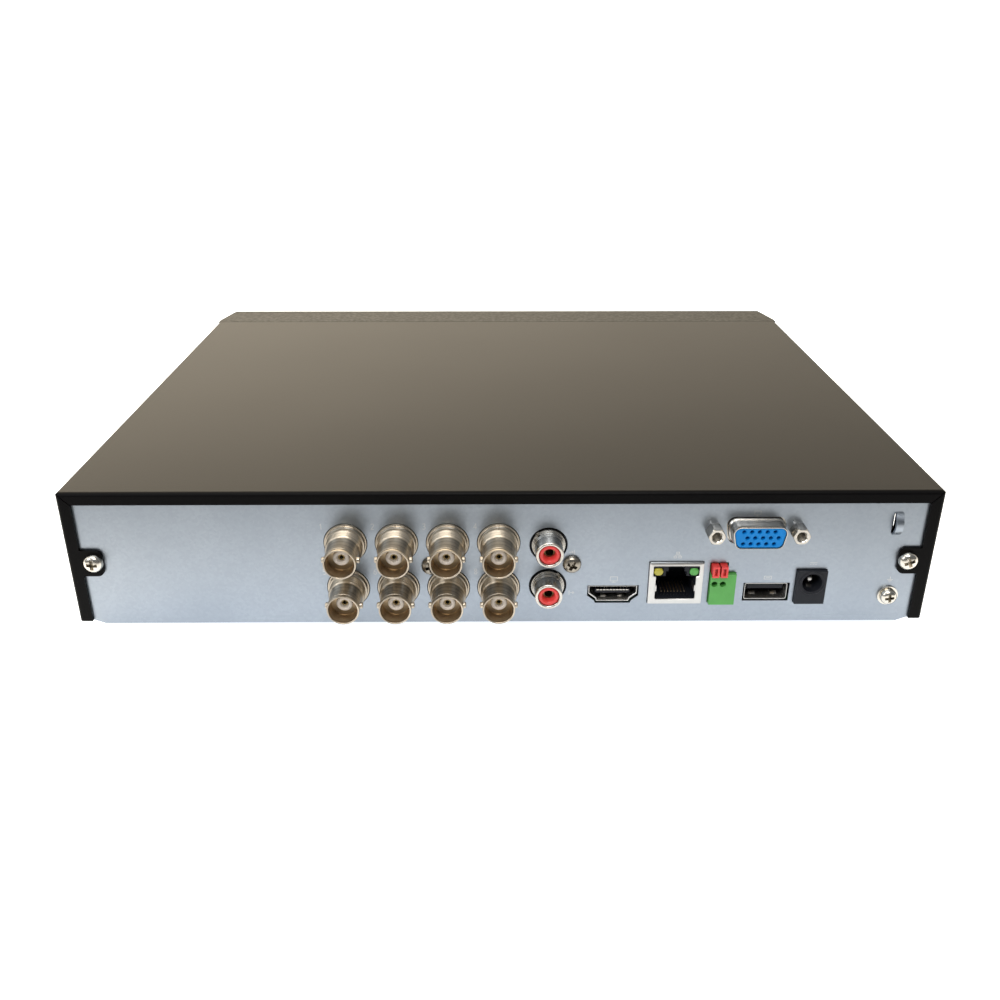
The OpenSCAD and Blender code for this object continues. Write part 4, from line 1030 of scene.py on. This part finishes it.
def drive_leads():
    low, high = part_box("drive_case")
    corner = Vector((high.x, low.y, low.z))
    header = (BOARD_TOP - low.z) / MM + 8.5
    for number, slot in enumerate(("yellow_lead", "black_plastic", "black_plastic", "red_lead")):
        wire = Drawing().rod(lead_route(45 + 4 * number), 0.8, 10)
        put(wire, f"power_wire_{number + 1}", corner, UP, "power_lead", slot, sharp=60)
    for node, y, drive_plug, board_plug, slot in (("power_lead", 51, 22, 16, "white_plastic"),
                                                  ("data_lead", 28, 13, 13, "black_plastic")):
        plug = Drawing()
        side = Matrix(((1, 0, 0, 0), (0, 0, 1, y), (0, 1, 0, 0), (0, 0, 0, 1)))
        upper = rectangle(6.8, 22 - header, 0.5, (36.5, (22 + header) / 2))
        plug.prism(rectangle(13.8, 5.8, 0.5, (1, 3.3)), -drive_plug / 2, drive_plug / 2, side)
        plug.prism(upper, -board_plug / 2, board_plug / 2, side)
        grip = drive_plug / 2 - 2
        for k in range(5):
            plug.block((1.5 + k * 1.1, y - grip, 6.1), (2.1 + k * 1.1, y + grip, 6.4))
        put(plug, node + "_plugs", corner, UP, node, slot, edge=0.2)
    strip = Drawing()
    for k in range(7):
        strip.rod(lead_route(24.58 + k * 1.14), 0.62)
    put(strip, "data_strip", corner, UP, "data_lead", sharp=60)


def drive_label():
    """A blank paper label and a spindle cap on the drive's lid."""
    low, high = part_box("drive_lid")
    middle = (low + high) / 2
    at = Vector((middle.x, middle.y, high.z))
    label = Drawing().prism(rectangle(58, 44, 1.5, (-16, 0)), 0.005, 0.05)
    put(label, "drive_label", at, UP, "drive_lid", "white_plastic", False)
    cap = Drawing().turned([(0, 0.004), (11, 0.004), (10.8, 0.12), (10.2, 0.15), (9.8, 0.06), (0, 0.06)],
                           Matrix.Translation((26, 0, 0)), 48)
    put(cap, "drive_spindle_cap", at, UP, "drive_lid", "bright_steel", False)


# -------------------------------- marks on the panel and the front

# Strokes of the digits on a grid 2 wide and 4 high
DIGITS = {
    1: [[(0.4, 3.2), (1.1, 4), (1.1, 0)]],
    2: [[(0.1, 3.3), (0.6, 4), (1.5, 4), (1.9, 3.3), (1.8, 2.5), (0.1, 0), (2, 0)]],
    3: [[(0.1, 3.7), (0.7, 4), (1.5, 4), (1.9, 3.3), (1.7, 2.5), (0.9, 2.1), (1.7, 1.8), (2, 1), (1.5, 0.1),
         (0.6, 0), (0.1, 0.4)]],
    4: [[(2, 1.3), (0, 1.3), (1.4, 4), (1.4, 0)]],
    5: [[(1.9, 4), (0.3, 4), (0.2, 2.3), (1.3, 2.5), (2, 1.7), (1.8, 0.5), (1.1, 0), (0.1, 0.3)]],
    6: [[(1.6, 4), (0.6, 3), (0.1, 1.4), (0.4, 0.3), (1.1, 0), (1.9, 0.5), (1.9, 1.7), (1.1, 2.3),
         (0.2, 1.7)]],
    7: [[(0.1, 4), (2, 4), (0.8, 0)]],
    8: [[(1, 2.1), (0.2, 2.8), (0.4, 3.8), (1, 4), (1.6, 3.8), (1.8, 2.8), (1, 2.1), (0.1, 1.2), (0.3, 0.2),
         (1, 0), (1.7, 0.2), (1.9, 1.2), (1, 2.1)]],
}


def box_mark(x, y, wide, high):
    return [(x, y), (x + wide, y), (x + wide, y + high), (x, y + high), (x, y)]


# Plain pictograms on a grid about 4 wide and 4 high
SCREEN = [box_mark(0, 1.2, 4.4, 2.8), [(2.2, 1.2), (2.2, 0.2)], [(1, 0.2), (3.4, 0.2)]]
WIRED = [box_mark(1.4, 2.8, 1.6, 1.2), box_mark(0, 0, 1.6, 1.2), box_mark(2.8, 0, 1.6, 1.2),
         [(2.2, 2.8), (2.2, 2), (0.8, 2), (0.8, 1.2)], [(2.2, 2), (3.6, 2), (3.6, 1.2)]]
PORT = [box_mark(0, 1, 4.4, 2), [(0.9, 2.1), (3.5, 2.1)]]
DIRECT = [[(0, 2.8), (4.4, 2.8)]] + [[(x, 1.6), (x + 1.1, 1.6)] for x in (0, 1.65, 3.3)]
EARTH = [[(2.2, 4), (2.2, 2)], [(0.4, 2), (4, 2)], [(1, 1.1), (3.4, 1.1)], [(1.7, 0.2), (2.7, 0.2)]]
INWARD = [[(0, 2), (2.8, 2)], [(1.8, 3), (2.9, 2), (1.8, 1)], [(3.6, 3.8), (3.6, 0.2)]]
OUTWARD = [[(0.8, 3.8), (0.8, 0.2)], [(1.6, 2), (4.2, 2)], [(3.2, 3), (4.3, 2), (3.2, 1)]]
DISC = [circle(1.9, (2.2, 2), 16) + [(4.1, 2)], circle(0.5, (2.2, 2), 8) + [(2.7, 2)]]
STANDBY = [arc((2.2, 1.9), 1.7, math.radians(125), math.radians(415), 12), [(2.2, 4), (2.2, 2.2)]]


def draw_marks(d, strokes, at, scale, line):
    """Thin raised strokes, from the lower left corner of the mark's grid."""
    for points in strokes:
        closed = len(points) > 3 and Vector(points[0]) == Vector(points[-1])
        path = points[:-1] if closed else points
        d.stroke([(at[0] + x * scale, at[1] + y * scale) for x, y in path], line, 0.004, 0.02, closed)


def panel_marks():
    """Numbers beside the video inputs and a pictogram above each port."""
    d = Drawing()
    for number, (x, z) in enumerate(video_places(), 1):
        draw_marks(d, DIGITS[number], (-x / MM - 7.4, z / MM + 4.6), 0.45, 0.22)
    x, rows = audio_places()
    for (_, z, _), mark in zip(rows, (INWARD, OUTWARD)):
        draw_marks(d, mark, (-x / MM + 6.3, z / MM - 3.4), 0.42, 0.2)
    for node, mark, gap in (("video_port_shell", SCREEN, 1.3), ("network_shield", WIRED, 1.3),
                            ("usb_shell", PORT, 1.1), ("power_jack_body", DIRECT, 0.9),
                            ("earth_washer", EARTH, 1.2)):
        draw_marks(d, mark, (-centre(node).x / MM - 1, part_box(node)[1].z / MM + gap), 0.5, 0.2)
    port = centre("vga_shell") / MM
    draw_marks(d, SCREEN, (-port.x - 1, port.z + 4.7), 0.42, 0.18)
    put(d, "panel_marks", on_panel(0, 0), REAR, "base_chassis", "bare_aluminium", False)


def front_marks():
    """A lens over each lamp of the front window, and a pictogram under it."""
    low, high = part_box("light_pipes")
    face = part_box("front_window")[0].y
    d = Drawing()
    step = (high.x - low.x) / MM / 2 - 1.5
    for i, mark in enumerate((STANDBY, DISC, WIRED)):
        draw_marks(d, mark, (low.x / MM + 1.5 + i * step - 1.1, high.z / MM - 6.8), 0.5, 0.22)
    put(d, "front_marks", Vector((0, face, 0)), FRONT, "front_window", "white_plastic", False)
    for i in range(3):
        at = Vector((low.x + (1.5 + i * step) * MM, face, high.z - 1.5 * MM))
        profile = [(0, -0.1), (1.5, -0.1), (1.5, 0.02), (1.35, 0.1), (0.9, 0.16), (0, 0.18)]
        put(Drawing().turned(profile, steps=28), f"front_lens_{i + 1}", at, FRONT, "light_pipes",
            stands_for=False, sharp=60)


# CAD parts that show as they are: their sharp edges are rounded by this many millimetres
SOFT_EDGES = {
    "base_chassis": 0.1, "front_bezel": 0.35, "front_window": 0.15, "terminal_body": 0.14,
    "terminal_lever_a": 0.2, "terminal_lever_b": 0.2, "terminal_springs": 0.05, "heatsink": 0.15,
    "processor": 0.12, "board_chips": 0.1, "capacitors": 0.35, "inductors": 0.3, "coin_cell_holder": 0.2,
    "buzzer": 0.3, "network_transformer": 0.25, "sata_header": 0.2, "power_header": 0.2, "drive_case": 0.4,
    "drive_lid": 0.2, "bnc_block": 0.25, "rca_block": 0.25, "vga_riser": 0.15, "earth_washer": 0.08,
    "main_board": 0.1, "front_board": 0.1, "board_standoffs": 0.15, "front_ribbon": 0.12,
}


def finish_cad_parts():
    """Gives every CAD part its record's material and rounds the edges of those that show."""
    for node, slot in SLOT_OF.items():
        skins = nodes[node].data.materials
        skins.clear()
        skins.append(MATERIALS[slot].mat)
    for node, width in SOFT_EDGES.items():
        soften(nodes[node], width)


DICE = random.Random(8)

camera()
stage()
lights()
finish_cad_parts()
video_sockets()
audio_sockets()
video_port()
network_port()
host_ports()
power_inlet()
analogue_port()
screws()
feet()
board_parts()
chip_legs()
drive_leads()
drive_label()
panel_marks()
front_marks()
